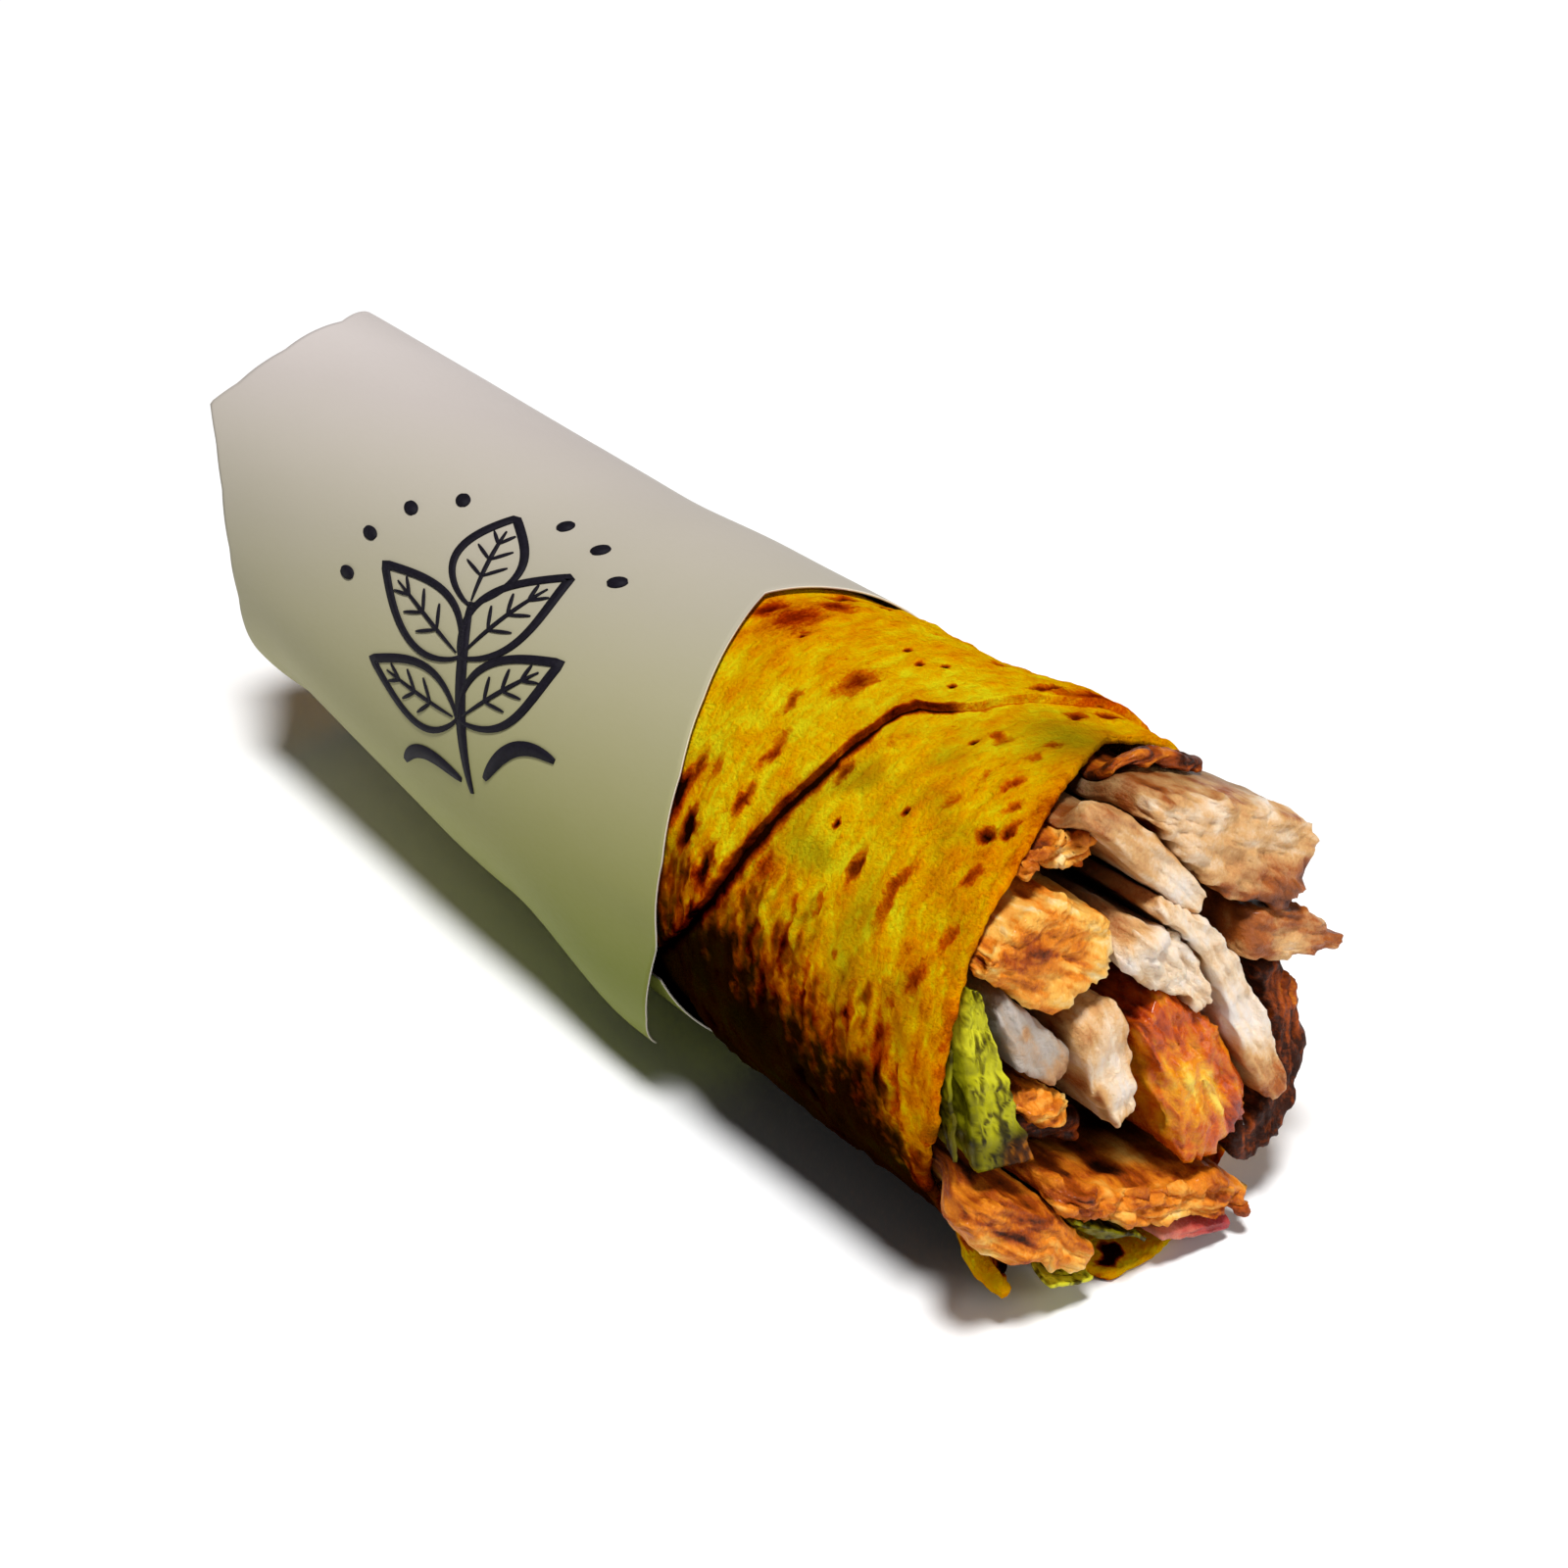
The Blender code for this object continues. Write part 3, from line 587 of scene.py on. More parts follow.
WHITE = (255, 255, 255)
PALETTES = {
    "pale": ((0.0, (232, 220, 210)), (0.2, (234, 208, 176)), (0.42, (214, 164, 104)), (0.68, (164, 86, 24)),
             (1.0, (74, 26, 2))),
    "grey": ((0.0, (196, 190, 188)), (0.35, (180, 164, 148)), (0.6, (186, 142, 98)), (1.0, (120, 62, 26))),
    "crisp": ((0.0, (250, 224, 164)), (0.25, (246, 186, 84)), (0.5, (226, 130, 24)), (0.75, (160, 68, 4)),
              (1.0, (50, 16, 0))),
    "glaze": ((0.0, (250, 214, 80)), (0.25, (232, 150, 10)), (0.55, (204, 86, 0)), (0.8, (150, 42, 0)),
              (1.0, (84, 14, 0))),
    "pink": ((0.0, (206, 130, 104)), (0.5, (176, 66, 58)), (1.0, (140, 26, 52))),
}


def meat_material(palette):
    n = Nodes("meat_" + palette)
    pale = palette in ("pale", "grey")
    wet = palette in ("glaze", "pink")
    fibre = n.noise(800.0, 8.0, (0.35, 1.0, 1.0), 0.7)
    fine = n.noise(2600.0, 4.0)
    tone = n.vary(n.attribute("tone"), fibre, 0.4 if pale else 0.65)
    tone = n.vary(tone, fine, 0.2, clamp=True)
    colour = n.ramp(tone, PALETTES[palette])
    # painted shade from the shade attribute
    colour = n.multiply(colour, ((0.0, WHITE), (1.0, (52, 22, 12))), n.attribute("shade"))
    n.bump(n.math("ADD", fibre, n.math("MULTIPLY", fine, 0.5)), 0.6, 0.0008)
    rough = n.scaled(fine, 0.35, 0.1 if wet else 0.25)
    return n.finish(colour, rough, specular=0.3 if pale else 0.14, coat=0.3 if wet else 0.06,
                    subsurface=0.06 if pale else 0.0)


def bread_material():
    n = Nodes("bread")
    streak = n.noise(480.0, 8.0, (1.0, 0.5, 0.5), 0.72)
    cloud = n.noise(70.0, 4.0)
    fine = n.noise(1900.0, 5.0)
    tone = n.vary(n.attribute("tone"), streak, 1.0)
    tone = n.vary(tone, fine, 0.45)
    tone = n.vary(tone, cloud, 0.4, clamp=True)
    body = n.ramp(tone, ((0.0, (255, 232, 20)), (0.2, (255, 194, 0)), (0.4, (250, 154, 0)),
                         (0.6, (214, 102, 0)), (0.8, (156, 60, 2)), (1.0, (76, 24, 2))))
    olive = n.math("MULTIPLY", n.attribute("olive"), n.math("ADD", cloud, 0.45), clamp=True)
    body = n.mix(olive, body, linear((150, 128, 8)))
    # toasted char, and painted shade along the seam, darken the body
    char_and_shade = n.vary(n.attribute("char_and_shade"), fine, 0.3)
    char_and_shade = n.vary(char_and_shade, streak, 0.24)
    body = n.multiply(body, ((0.0, WHITE), (0.22, WHITE), (0.45, (226, 150, 60)), (0.72, (150, 66, 20)),
                             (1.0, (34, 14, 8))), char_and_shade)
    # painted shade on the low side, from the shade attribute
    body = n.multiply(body, ((0.0, WHITE), (0.5, (176, 124, 72)), (1.0, (40, 33, 12))), n.attribute("shade"))
    n.bump(n.math("ADD", streak, n.math("MULTIPLY", fine, 0.4)), 1.0, 0.0017)
    return n.finish(body, n.scaled(fine, 0.5, 0.18), specular=0.0)


# paper colours by grade, darker towards grade 1 partly as painted shade
PAPER_STOPS = (
    (0.0, (203, 194, 190)), (0.12, (191, 182, 176)), (0.25, (184, 176, 164)), (0.4, (174, 167, 148)),
    (0.55, (169, 163, 132)), (0.7, (160, 156, 112)), (0.85, (148, 148, 86)), (1.0, (126, 133, 54)),
)


def paper_material():
    n = Nodes("paper")
    fibre = n.noise(1500.0, 4.0, (0.4, 1.0, 1.0))
    tone = n.vary(n.attribute("grade"), n.noise(40.0, 3.0), 0.05)
    tone = n.vary(tone, fibre, 0.03, clamp=True)
    n.bump(fibre, 0.08, 0.0003)
    return n.finish(n.ramp(tone, PAPER_STOPS), n.scaled(fibre, 0.1, 0.5), specular=0.1)


def edge_material():
    n = Nodes("paper_cut_edge")
    colour = n.ramp(n.noise(2000.0, 3.0), ((0.0, (236, 230, 214)), (1.0, (214, 204, 186))))
    return n.finish(colour, 0.6)


def ink_material():
    n = Nodes("ink")
    colour = n.ramp(n.noise(1600.0, 4.0), ((0.3, (12, 9, 18)), (0.7, (24, 20, 32))))
    return n.finish(colour, 0.7, specular=0.15)


def leaf_material():
    n = Nodes("leaf")
    fine = n.noise(1400.0, 5.0)
    tone = n.vary(n.attribute("tone"), n.noise(260.0, 5.0), 0.4, clamp=True)
    colour = n.ramp(tone, ((0.0, (212, 208, 44)), (0.25, (172, 168, 20)), (0.45, (116, 112, 6)),
                           (0.66, (66, 50, 4)), (1.0, (188, 106, 6))))
    vein = ((0.0, WHITE), (0.6, (128, 120, 56)), (1.0, (58, 52, 18)))
    colour = n.multiply(colour, vein, n.attribute("vein"))
    n.bump(fine, 0.3, 0.0005)
    return n.finish(colour, n.scaled(fine, 0.2, 0.22), specular=0.08, coat=0.02)


# Paper sleeve


def grade_of(points):
    """The paper's colour runs from mauve grey at its upper far side to olive green at its lower near side;
    the darkening that way is partly painted shade.
    """
    return np.clip((points @ GRADE_WAY - GRADE_START) / GRADE_LENGTH, 0, 1)


def paper_inset(angle):
    return LAP_INSET * (1 - smooth((angle - JOG_FROM) / (JOG_TO - JOG_FROM)))


def paper_flare(x, angle):
    turn = smooth((angle - FLARE_ANGLE) / (LAP_END - FLARE_ANGLE))
    front = CORNER_FLARE * smooth((x - FLARE_START) / FLARE_LENGTH)
    tail = TAIL_CORNER_FLARE * smooth((TAIL_FLARE_START - x) / TAIL_FLARE_LENGTH)
    return turn * (front + tail)


def paper_points(x, angle):
    return section(x, angle, paper_inset(angle) - paper_flare(x, angle))


def make_paper():
    columns = int(250 * DENSITY)
    rows = int(130 * DENSITY)
    angle = np.linspace(LAP_START, LAP_END, columns)[None, :] + np.zeros((rows, 1))
    share = np.linspace(0, 1, rows)[:, None]
    back = paper_edge(PAPER_BACK, angle)
    front = paper_edge(PAPER_FRONT, angle)
    x = back + (front - back) * share
    verts = paper_points(x, angle).reshape(-1, 3)
    x = x.reshape(-1)
    angle = angle.reshape(-1)
    quads = grid_quads(rows, columns, False)
    out = normals_of(verts, quads)
    middle = len(verts) // 2 + columns // 2
    centre = np.stack([verts[:, 0], 0 * x, axis_height(x)], -1)
    if (out[middle] * (verts - centre)[middle]).sum() < 0:
        quads = quads[:, ::-1]
        out = -out
    wave = 0.10 * fbm(verts, (30, 14, 14), 2, 3) + 0.035 * fbm(verts, (9, 5, 5), 3, 9)
    under = smooth((angle - LAP_START) / 30.0)
    verts = verts + out * (wave * under)[:, None]
    verts[:, 2] = np.maximum(verts[:, 2], 0.0)
    obj = make_object("paper_sheet", verts, quads, paper_material(), "paper_sleeve",
                      {"grade": grade_of(verts)})
    obj.data.materials.append(edge_material())
    thicken(obj, SHEET, -1).material_offset_rim = 1


# A plain leaf sprig printed on the paper


def sprig_strokes():
    """Leaf outlines and single strokes as lists of (right, up) in millimetres, each with a width."""
    stem = np.stack([np.sin(np.linspace(0, 1.3, 30)) * 3.0 - 1.0, np.linspace(-17.5, 6, 30)], -1)
    strokes = [(stem, 1.3)]
    for base, tip, width in (
        ((1.8, 5.5), (4.5, 19.0), 4.4), ((0.9, -1.0), (13.5, 9.5), 4.0), ((1.0, -1.0), (-11.0, 10.5), 4.0),
        ((0.0, -8.5), (14.5, -2.5), 3.8), ((-0.2, -8.5), (-14.0, -1.5), 3.8),
    ):
        b = np.array(base)
        along = np.array(tip) - b
        side = np.array([-along[1], along[0]]) * width / np.linalg.norm(along)
        s = np.linspace(0, 1, 25)
        bulge = np.sin(np.pi * s ** 0.8)
        left = b + along * s[:, None] + side * bulge[:, None]
        right = b + along * s[:, None] - side * bulge[:, None]
        strokes.append((np.concatenate([left, right[::-1]]), 0.95))
        strokes.append((b + along * np.linspace(0.05, 0.82, 12)[:, None], 0.45))
        for k in (0.3, 0.48, 0.66):
            for way in (1, -1):
                root = b + along * k
                end = b + along * (k + 0.13) + way * side * 0.62 * math.sin(math.pi * (k + 0.13) ** 0.8)
                strokes.append((root + (end - root) * np.linspace(0, 1, 5)[:, None], 0.38))

    for way in (1, -1):
        s = np.linspace(0, 1, 16)
        curl = np.stack([way * (2.2 + 11.5 * s), -15.8 + 3.4 * np.sin(s * 2.6)], -1)
        strokes.append((curl, 1.5))
    for k in range(8):
        turn = math.radians(20 + 20 * k)
        c = np.array([0.8 + 19.0 * math.cos(turn), 3.0 + 18.0 * math.sin(turn)])
        if abs(c[0] - 4.5) < 3.6 and c[1] > 8:
            continue
        spoke = np.array([math.cos(turn), math.sin(turn)])
        strokes.append((c + spoke * np.linspace(-1.1, 1.1, 9)[:, None], 1.5))
    return strokes


def make_sprig():
    verts = []
    quads = []
    for line, width in sprig_strokes():
        gaps = np.linalg.norm(np.diff(line, axis=0), axis=1)
        at = np.concatenate([[0], np.cumsum(gaps)])
        count = max(11, int(at[-1] / STROKE_STEP))
        s = np.linspace(0, at[-1], count)
        pts = np.stack([np.interp(s, at, line[:, 0]), np.interp(s, at, line[:, 1])], -1)
        tangent = np.gradient(pts, axis=0)
        tangent /= np.maximum(np.linalg.norm(tangent, axis=1), 1e-9)[:, None]
        side = np.stack([-tangent[:, 1], tangent[:, 0]], -1)
        taper = np.sin(np.pi * np.linspace(0.03, 0.97, count)) ** 0.45
        first = len(verts)
        for p, n, t in zip(pts, side, taper):
            verts.append(p + n * width * INK_SPREAD * t)
            verts.append(p - n * width * INK_SPREAD * t)
        for a in range(first, first + 2 * count - 2, 2):
            quads.append((a, a + 1, a + 3, a + 2))
    right, up = np.array(verts).T
    right = right - SPRIG_LEFT
    x = SPRIG_X + SPRIG_RIGHT_STEP[0] * right + SPRIG_UP_STEP[0] * up
    arc = SPRIG_RIGHT_STEP[1] * right + SPRIG_UP_STEP[1] * up
    points = paper_points(x, SPRIG_ANGLE + np.degrees(arc / ROLL_RADIUS))
    out = points - np.stack([x, 0 * x, axis_height(x)], -1)
    out /= np.linalg.norm(out, axis=1)[:, None]
    quads = np.array(quads)
    if (face_cross(points, quads) * out[quads[:, 0]]).sum() < 0:
        quads = quads[:, ::-1]
    obj = make_object("paper_sprig_print", points + out * INK_LIFT, quads, ink_material(), None, {})
    thicken(obj, INK_THICK, -1)


# Flatbread


def bread_end(angle):
    a = wrap_angle(angle)
    total = 0.0
    for b in (a - END_AVERAGE, a, a + END_AVERAGE):
        total = total + paper_edge(PAPER_BACK, np.where(b <= LAP_END, b, b - 360))
    return total / 3 + END_GAP - END_POKE * bell(a, END_POKE_ANGLE, END_POKE_WIDTH)


def paper_reach(a):
    low = np.where(a <= LAP_END, paper_edge(PAPER_FRONT, a), -1e3)
    lap = np.where(a - 360 >= LAP_START, paper_edge(PAPER_FRONT, a - 360), -1e3)
    return np.maximum(low, lap)


def bread_outer_inset(x, angle):
    a = wrap_angle(angle)
    rise, full, fall, end = LAP_ANGLES
    lap = smooth((a - rise) / (full - rise)) * (1 - smooth((a - fall) / (end - fall)))
    under = UNDER_PAPER + (UNDER_LAP - UNDER_PAPER) * lap
    bare = smooth((x - paper_reach(a) - BARE_START) / BARE_LENGTH)
    return under * (1 - bare) + BARE * bare


def bread_inner_inset(x):
    return INNER_INSET_BACK + (INNER_INSET_FRONT - INNER_INSET_BACK) * smooth((x - THIN_START) / THIN_LENGTH)


def tongue(x, angle):
    """How far the rim turns out: at its low tongue and at its far side."""
    a = wrap_angle(angle)
    low = bell(a, TONGUE_ANGLE, TONGUE_WIDTH) * smooth((x - TONGUE_START) / TONGUE_LENGTH)
    far = bell(a, FAR_ANGLE, FAR_WIDTH) * smooth((x - FAR_START) / FAR_LENGTH)
    return TONGUE_FLARE * low + FAR_FLARE * far


def front_droop(x):
    return FRONT_DROOP * smooth((x - DROOP_START) / DROOP_LENGTH)


def along_edge(angle, reach, seed):
    """Points on a cylinder, so that noise along an edge closes on itself."""
    rad = np.radians(angle)
    return np.stack([reach * np.sin(rad), reach * np.cos(rad), 0 * rad + 3.1 * seed], -1)


def bread_shell():
    """The bread ring by ring: its closed end, the outside, round the rim and back along the inside."""
    columns = int(380 * DENSITY)
    angle = np.arange(columns) * 360.0 / columns
    edge = along_edge(angle, 30, 0)
    seam = edge_x(SEAM, angle) + 0.55 * fbm(edge, 7, 3, 5) + 0.25 * fbm(edge, 1.6, 2, 6)
    rim = edge_x(BREAD_RIM, angle) + 0.55 * fbm(edge, 6, 3, 11) + 0.3 * fbm(edge, 1.4, 2, 12)
    end = bread_end(angle)
    rows = []
    kinds = []

    def ring(x, inset, kind, lift=0.0):
        rows.append(section(x, angle, inset - tongue(x, angle) - lift, front_droop(x)))
        kinds.append(kind)

    def end_ring(share, lift, inset, tuck, kind):
        middle = end.mean()
        x = middle + (end - middle) * share + lift + tuck * np.cos(np.radians(END_FOLDS * angle))
        x = x + 0.5 * fbm(along_edge(angle, 30 * share, 1), 9, 2, 21)
        p = section(x, angle, inset)
        centre = axis_height(x)
        rows.append(np.stack([x, p[:, 1] * share, centre + (p[:, 2] - centre) * share], -1))
        kinds.append(kind)

    for share, lift, tuck in ((0.05, 2.8, 0.1), (0.18, 2.6, 0.3), (0.3, 2.5, 0.5), (0.5, 1.2, 0.65),
                              (0.66, 0.4, 0.7), (0.8, 0.4, 0.6), (0.9, 0.9, 0.4), (0.965, 2.6, 0.2)):
        end_ring(share, lift, UNDER_LAP, tuck, CLOSED)
    for share in np.concatenate([np.linspace(0, 0.72, 12), np.linspace(0.735, 1, int(78 * DENSITY))]):
        x = end + END_TURN + (seam - 0.5 - end - END_TURN) * share
        ring(x, bread_outer_inset(x, angle), UNDER)
    here = bread_outer_inset(seam, angle)
    lip = 0.35 * (0.6 + 0.6 * fbm(edge, 9, 2, 33)) * (here < 0.6)
    ring(seam - 0.15, here, UNDER, lip * 0.8)
    ring(seam, here + 0.12, LIP, lip)
    ring(seam + 0.12, here + 0.42, LIP, lip * 0.6)
    ring(seam + 0.02, np.maximum(here, BARE) + STEP, LIP)
    for share in np.linspace(0.012, 0.985, int(74 * DENSITY)):
        x = seam + (rim - seam) * share
        ring(x, np.maximum(bread_outer_inset(x, angle), BARE) + STEP, OVER)
    for share, push in ((0.1, -0.12), (0.35, 0.06), (0.65, 0.06), (0.9, -0.12)):
        ring(rim + push, BARE + STEP + (INNER_INSET_FRONT - BARE - STEP) * share, RIM)
    for back in np.concatenate([np.linspace(0.5, 18, int(26 * DENSITY)), np.linspace(24, 60, 6)]):
        x = np.maximum(rim - back, end + INNER_END)
        ring(x, bread_inner_inset(x), INNER)
    for share in (0.6, 0.25, 0.0):
        x = end + INNER_END + (rim - 62 - end - INNER_END) * share
        ring(x, bread_inner_inset(x), INNER)
    for share, lift, tuck in ((0.66, 5.0, 0.5), (0.3, 5.6, 0.3), (0.05, 5.7, 0.0)):
        end_ring(share, lift, INNER_INSET_BACK, tuck, INNER)

    verts = np.concatenate(rows + [rows[0].mean(0)[None], rows[-1].mean(0)[None]])
    kind = np.append(np.repeat(np.array(kinds), columns), [CLOSED, INNER])
    tip = len(rows) * columns
    first = np.arange(columns)
    last = tip - columns + first
    quads = facing_out(verts, np.concatenate([
        grid_quads(len(rows), columns, True),
        np.stack([np.roll(first, -1), first, 0 * first + tip, 0 * first + tip], -1),
        np.stack([last, np.roll(last, -1), 0 * last + tip + 1, 0 * last + tip + 1], -1),
    ]))
    return verts, kind, quads, np.append(angle, 360), np.append(seam, seam[0]), np.append(rim, rim[0])


def toasted(verts, x, spin):
    """Char and pitting of the toasted spots: those that show, scattered ones, and pinholes."""
    pit = np.zeros(len(verts))
    char_and_shade = np.zeros(len(verts))
    jitter_a = 0.9 * noise(verts, 2.2, 61) + 0.5 * noise(verts, 0.9, 63)
    jitter_x = 0.9 * noise(verts, 2.2, 62) + 0.5 * noise(verts, 0.9, 64)
    rng = np.random.default_rng(7)
    spots = list(SPOTS)
    for count, *ranges in SCATTERED_SPOTS:
        for _ in range(count):
            spots.append([rng.uniform(low, high) for low, high in ranges])
    for spot_angle, spot_x, half_a, half_x, depth in spots:
        r = np.hypot((arc_from(spin, spot_angle) + jitter_a) / half_a, (x - spot_x + jitter_x) / half_x)
        char_and_shade = np.maximum(char_and_shade, depth * np.exp(-(r ** 2) * 0.9))
        pit += np.minimum(depth, 1.0) * (0.16 * bell(r, 1.15, 0.4) - 0.3 * np.exp(-(r * 1.3) ** 2))
    for hole_angle, hole_x in PINHOLES:
        r = np.hypot(arc_from(spin, hole_angle) / 0.75, (x - hole_x) / 0.45)
        char_and_shade = np.maximum(char_and_shade, 1.3 * bell(r, 0, 1))
        pit -= 0.5 * bell(r, 0, 1)
    return char_and_shade, pit


def make_bread():
    verts, kind, quads, turn, seam, rim = bread_shell()
    x = verts[:, 0]
    spin = np.degrees(np.arctan2(-verts[:, 1], verts[:, 2] - axis_height(x)))
    past_seam = x - np.interp(spin % 360, turn, seam)
    past_rim = x - np.interp(spin % 360, turn, rim)
    outside = (kind != INNER).astype(float)
    under = np.isin(kind, (UNDER, LIP)).astype(float)
    bare = smooth((x - paper_reach(spin) - 0.8) / 2.5)
    near = smooth((spin - 25) / 60) * (1 - smooth((spin - 150) / 20))
    side = (spin > 0) * 1.0
    lobe = smooth((x - 82) / 4) * (np.abs(wrap_angle(spin - 160)) < 45)

    streak = fbm(verts, (1.5, 3.6, 3.6), 3, 43)
    blister = np.maximum(0, fbm(verts, (3.2, 4.6, 4.6), 2, 47) - 0.12)
    wrinkle = ridges(verts, (2.2, 5.5, 5.5), 2, 53)
    grit = fbm(verts, (0.9, 1.5, 1.5), 2, 49)
    char_and_shade, pit = toasted(verts, x, spin)
    lift = 0.32 * fbm(verts, (16, 11, 11), 2, 41) + 0.3 * streak + 0.8 * blister + pit
    lift += near * (0.3 * wrinkle + 0.24 * streak + 0.2 * grit) + 0.08 * grit

    # painted shade in the seam's crease under the lapped edge and in the dark fold beyond it, added to the
    # char; then char specks, and the burnt part of the tongue
    rag = fbm(verts, (2.2, 3.5, 3.5), 3, 71)
    line = 0.45 + 0.55 * smooth((spin + 2) / 8)
    width = 0.45 + 0.95 * smooth((spin - 6) / 45) + 0.6 * rag + 0.7 * bell(spin, 8, 4)
    before = np.exp(-np.maximum(0, -past_seam) / np.maximum(0.35, 0.8 * width)) * under
    after = bell(np.maximum(0, past_seam), 0, np.maximum(0.4, 1.25 * width)) * (kind == OVER)
    char_and_shade = np.maximum(char_and_shade, (0.55 + 0.7 * rag) * before * line)
    char_and_shade = np.maximum(char_and_shade, 1.4 * after * line)
    char_and_shade = np.maximum(char_and_shade, (0.8 + 0.5 * rag) * (kind == LIP) * line)
    speck = np.maximum(0, fbm(verts, (1.1, 2.6, 2.6), 3, 77) - 0.1)
    char_and_shade = char_and_shade + side * outside * (0.25 + 1.2 * smooth((spin - 50) / 35)) * speck
    char_and_shade = np.maximum(char_and_shade, (0.7 + 0.6 * rag) * bell(past_seam, -1.5, 2.6) * bell(spin, -38, 16) * outside)
    burn = smooth((fbm(verts, 4.2, 2, 87) + 0.55 * bell(wrap_angle(spin - 150), 0, 9) - 0.1) / 0.25)
    char_and_shade = np.maximum(char_and_shade, 1.2 * lobe * burn)

    # painted shade on the bread's low side, with its ragged upper edge
    shade_edge = fbm(verts, (3.0, 6.0, 6.0), 3, 83) + 0.7 * fbm(verts, (0.9, 1.8, 1.8), 2, 84)
    fall = np.interp(x, DARK_X, DARK_ANGLE) + 14 * under
    low = side * smooth((x - 14) / 10) * smooth((spin - fall + 18 + 26 * shade_edge) / 34)

    tone = 0.26 + 0.06 * smooth((x - 66) / 18) * outside
    tone += 0.16 * np.exp(-np.maximum(0, -past_rim) / 1.6) * outside
    # painted shade: darker tone towards the low near side, ahead of the full painted shade
    tone += 0.22 * smooth((spin - 48) / 30) * side * smooth((x - 14) / 10)
    tone += 0.26 * fbm(verts, 7, 2, 73) + (0.16 + 0.3 * near) * streak - 0.2 * near * wrinkle
    tone -= 0.1 * bell(x, 46, 14) * bell(spin, 30, 30)
    # painted glints: lighter specks of tone on the near side, fewer within the painted shade
    painted_glint = smooth((fbm(verts, (0.9, 2.4, 2.4), 3, 93) - 0.16) / 0.22)
    tone -= 0.3 * painted_glint * bell(spin, 68, 24) * (1 - 0.7 * low)
    tone += 0.36 * bell(x, 24, 6) * bell(spin, 2, 10)
    tone = np.where(kind == INNER, 0.5 + 0.15 * fbm(verts, 5, 2, 74), tone)
    tone = np.where(lobe > 0.3, 0.26 + 0.2 * rag, tone)

    patchy = smooth((fbm(verts, (7, 9, 9), 2, 91) + 0.1) / 0.5)
    olive = np.maximum(0.95 * bell(x, 68, 7) * bell(spin, -12, 14), 0.6 * patchy * near)
    olive = np.maximum(olive, 0.8 * patchy * bell(x, 62, 13) * bell(spin, 42, 32)) * outside

    amount = np.where(outside > 0, lift * (0.25 + 0.75 * bare), 0.12 * fbm(verts, 3, 2, 79))
    amount = np.where(kind == LIP, 0.3 * amount, amount)
    verts = verts + normals_of(verts, quads) * amount[:, None]
    verts[:, 2] = np.maximum(verts[:, 2], 0.02)
    make_object("bread_roll", verts, quads, bread_material(), "flatbread", {
        "tone": np.clip(tone, 0, 1), "char_and_shade": np.clip(char_and_shade, 0, 1.2), "olive": olive,
        "shade": low * outside * (1 - 0.85 * lobe),
    })


# Filling


def squeeze(points):
    """Maps points of the open face to their place: pressed inwards where bread surrounds them."""
    x, y, z = points.T
    dz = z - FACE_CENTRE
    taper = roll_radius(x) / roll_radius(np.array(FACE))
    r = np.maximum(np.hypot(y, dz), 1e-6)
    share = r / FACE_RADIUS
    angle = np.degrees(np.arctan2(-y, dz))
    inside = roll_radius(x) - bread_inner_inset(x) - FILL_GAP
    out = smooth((x - edge_x(BREAD_RIM, angle) - RIM_CLEAR) / SPLAY_LENGTH)
    power = POWER_BACK + (POWER_FRONT - POWER_BACK) * smooth((x - POWER_START) / POWER_LENGTH)
    push = (FACE_RADIUS * taper - inside) * (1 - out)
    within = taper - push * share ** power / r
    beyond = (FACE_RADIUS * taper - push + (r - FACE_RADIUS) * out) / r
    scale = np.where(share < 1, within, beyond)
    return np.stack([x, y * scale, np.maximum(axis_height(x) + dz * scale, FLOOR_GAP)], -1)


def resample(spine, step):
    """Stations at even steps on a smooth curve through the given ones."""
    pts = np.array(spine, float)
    gaps = np.hypot(np.diff(pts[:, 0]), np.diff(pts[:, 1]))
    at = np.concatenate([[0], np.cumsum(gaps)])
    count = max(6, int(round(at[-1] / step)) + 1)
    s = np.linspace(0, at[-1], count)
    out = np.stack([np.interp(s, at, pts[:, k]) for k in range(pts.shape[1])], 1)
    for _ in range(max(1, int(1.2 / step) ** 2)):
        out[1:-1] = 0.25 * out[:-2] + 0.5 * out[1:-1] + 0.25 * out[2:]
    return out


def outline(mid, shrink, cap):
    """The closed section outline of a piece, drawn in all round towards its spine."""
    side = len(mid)
    gaps = np.hypot(np.diff(mid[:, 0]), np.diff(mid[:, 1]))
    at = np.concatenate([[0], np.cumsum(gaps)])
    length = at[-1]
    low = min(mid[0, 2] * (1 - shrink), 0.45 * length)
    high = length - min(mid[-1, 2] * (1 - shrink), 0.45 * length)
    where = np.linspace(low, high, side)
    line = np.stack([np.interp(where, at, mid[:, k]) for k in range(3)], 1)
    tangent = np.gradient(line[:, :2], axis=0)
    tangent /= np.maximum(np.linalg.norm(tangent, axis=1), 1e-9)[:, None]
    normal = np.stack([-tangent[:, 1], tangent[:, 0]], 1)
    half = line[:, 2] * shrink
    left = line[:, :2] + normal * half[:, None]
    right = line[:, :2] - normal * half[:, None]
    steps = np.pi * np.arange(1, cap + 1) / (cap + 1)

    def round_end(k, way):
        across = np.sign(np.cos(steps)) * np.abs(np.cos(steps)) ** SQUARENESS
        along = np.sin(steps) ** SQUARENESS
        wide = across[:, None] * normal[k] + along[:, None] * tangent[k]
        return line[k, :2] + half[k] * way * wide

    return np.concatenate([left, round_end(-1, 1.0), right[::-1], round_end(0, -1.0)])


def patch_tone(base, patches, y, z):
    tone = np.full(len(y), float(base))
    for py, pz, radius, change in patches:
        tone += change * np.exp(-((y - py) ** 2 + (z - pz) ** 2) / radius ** 2)
    return tone


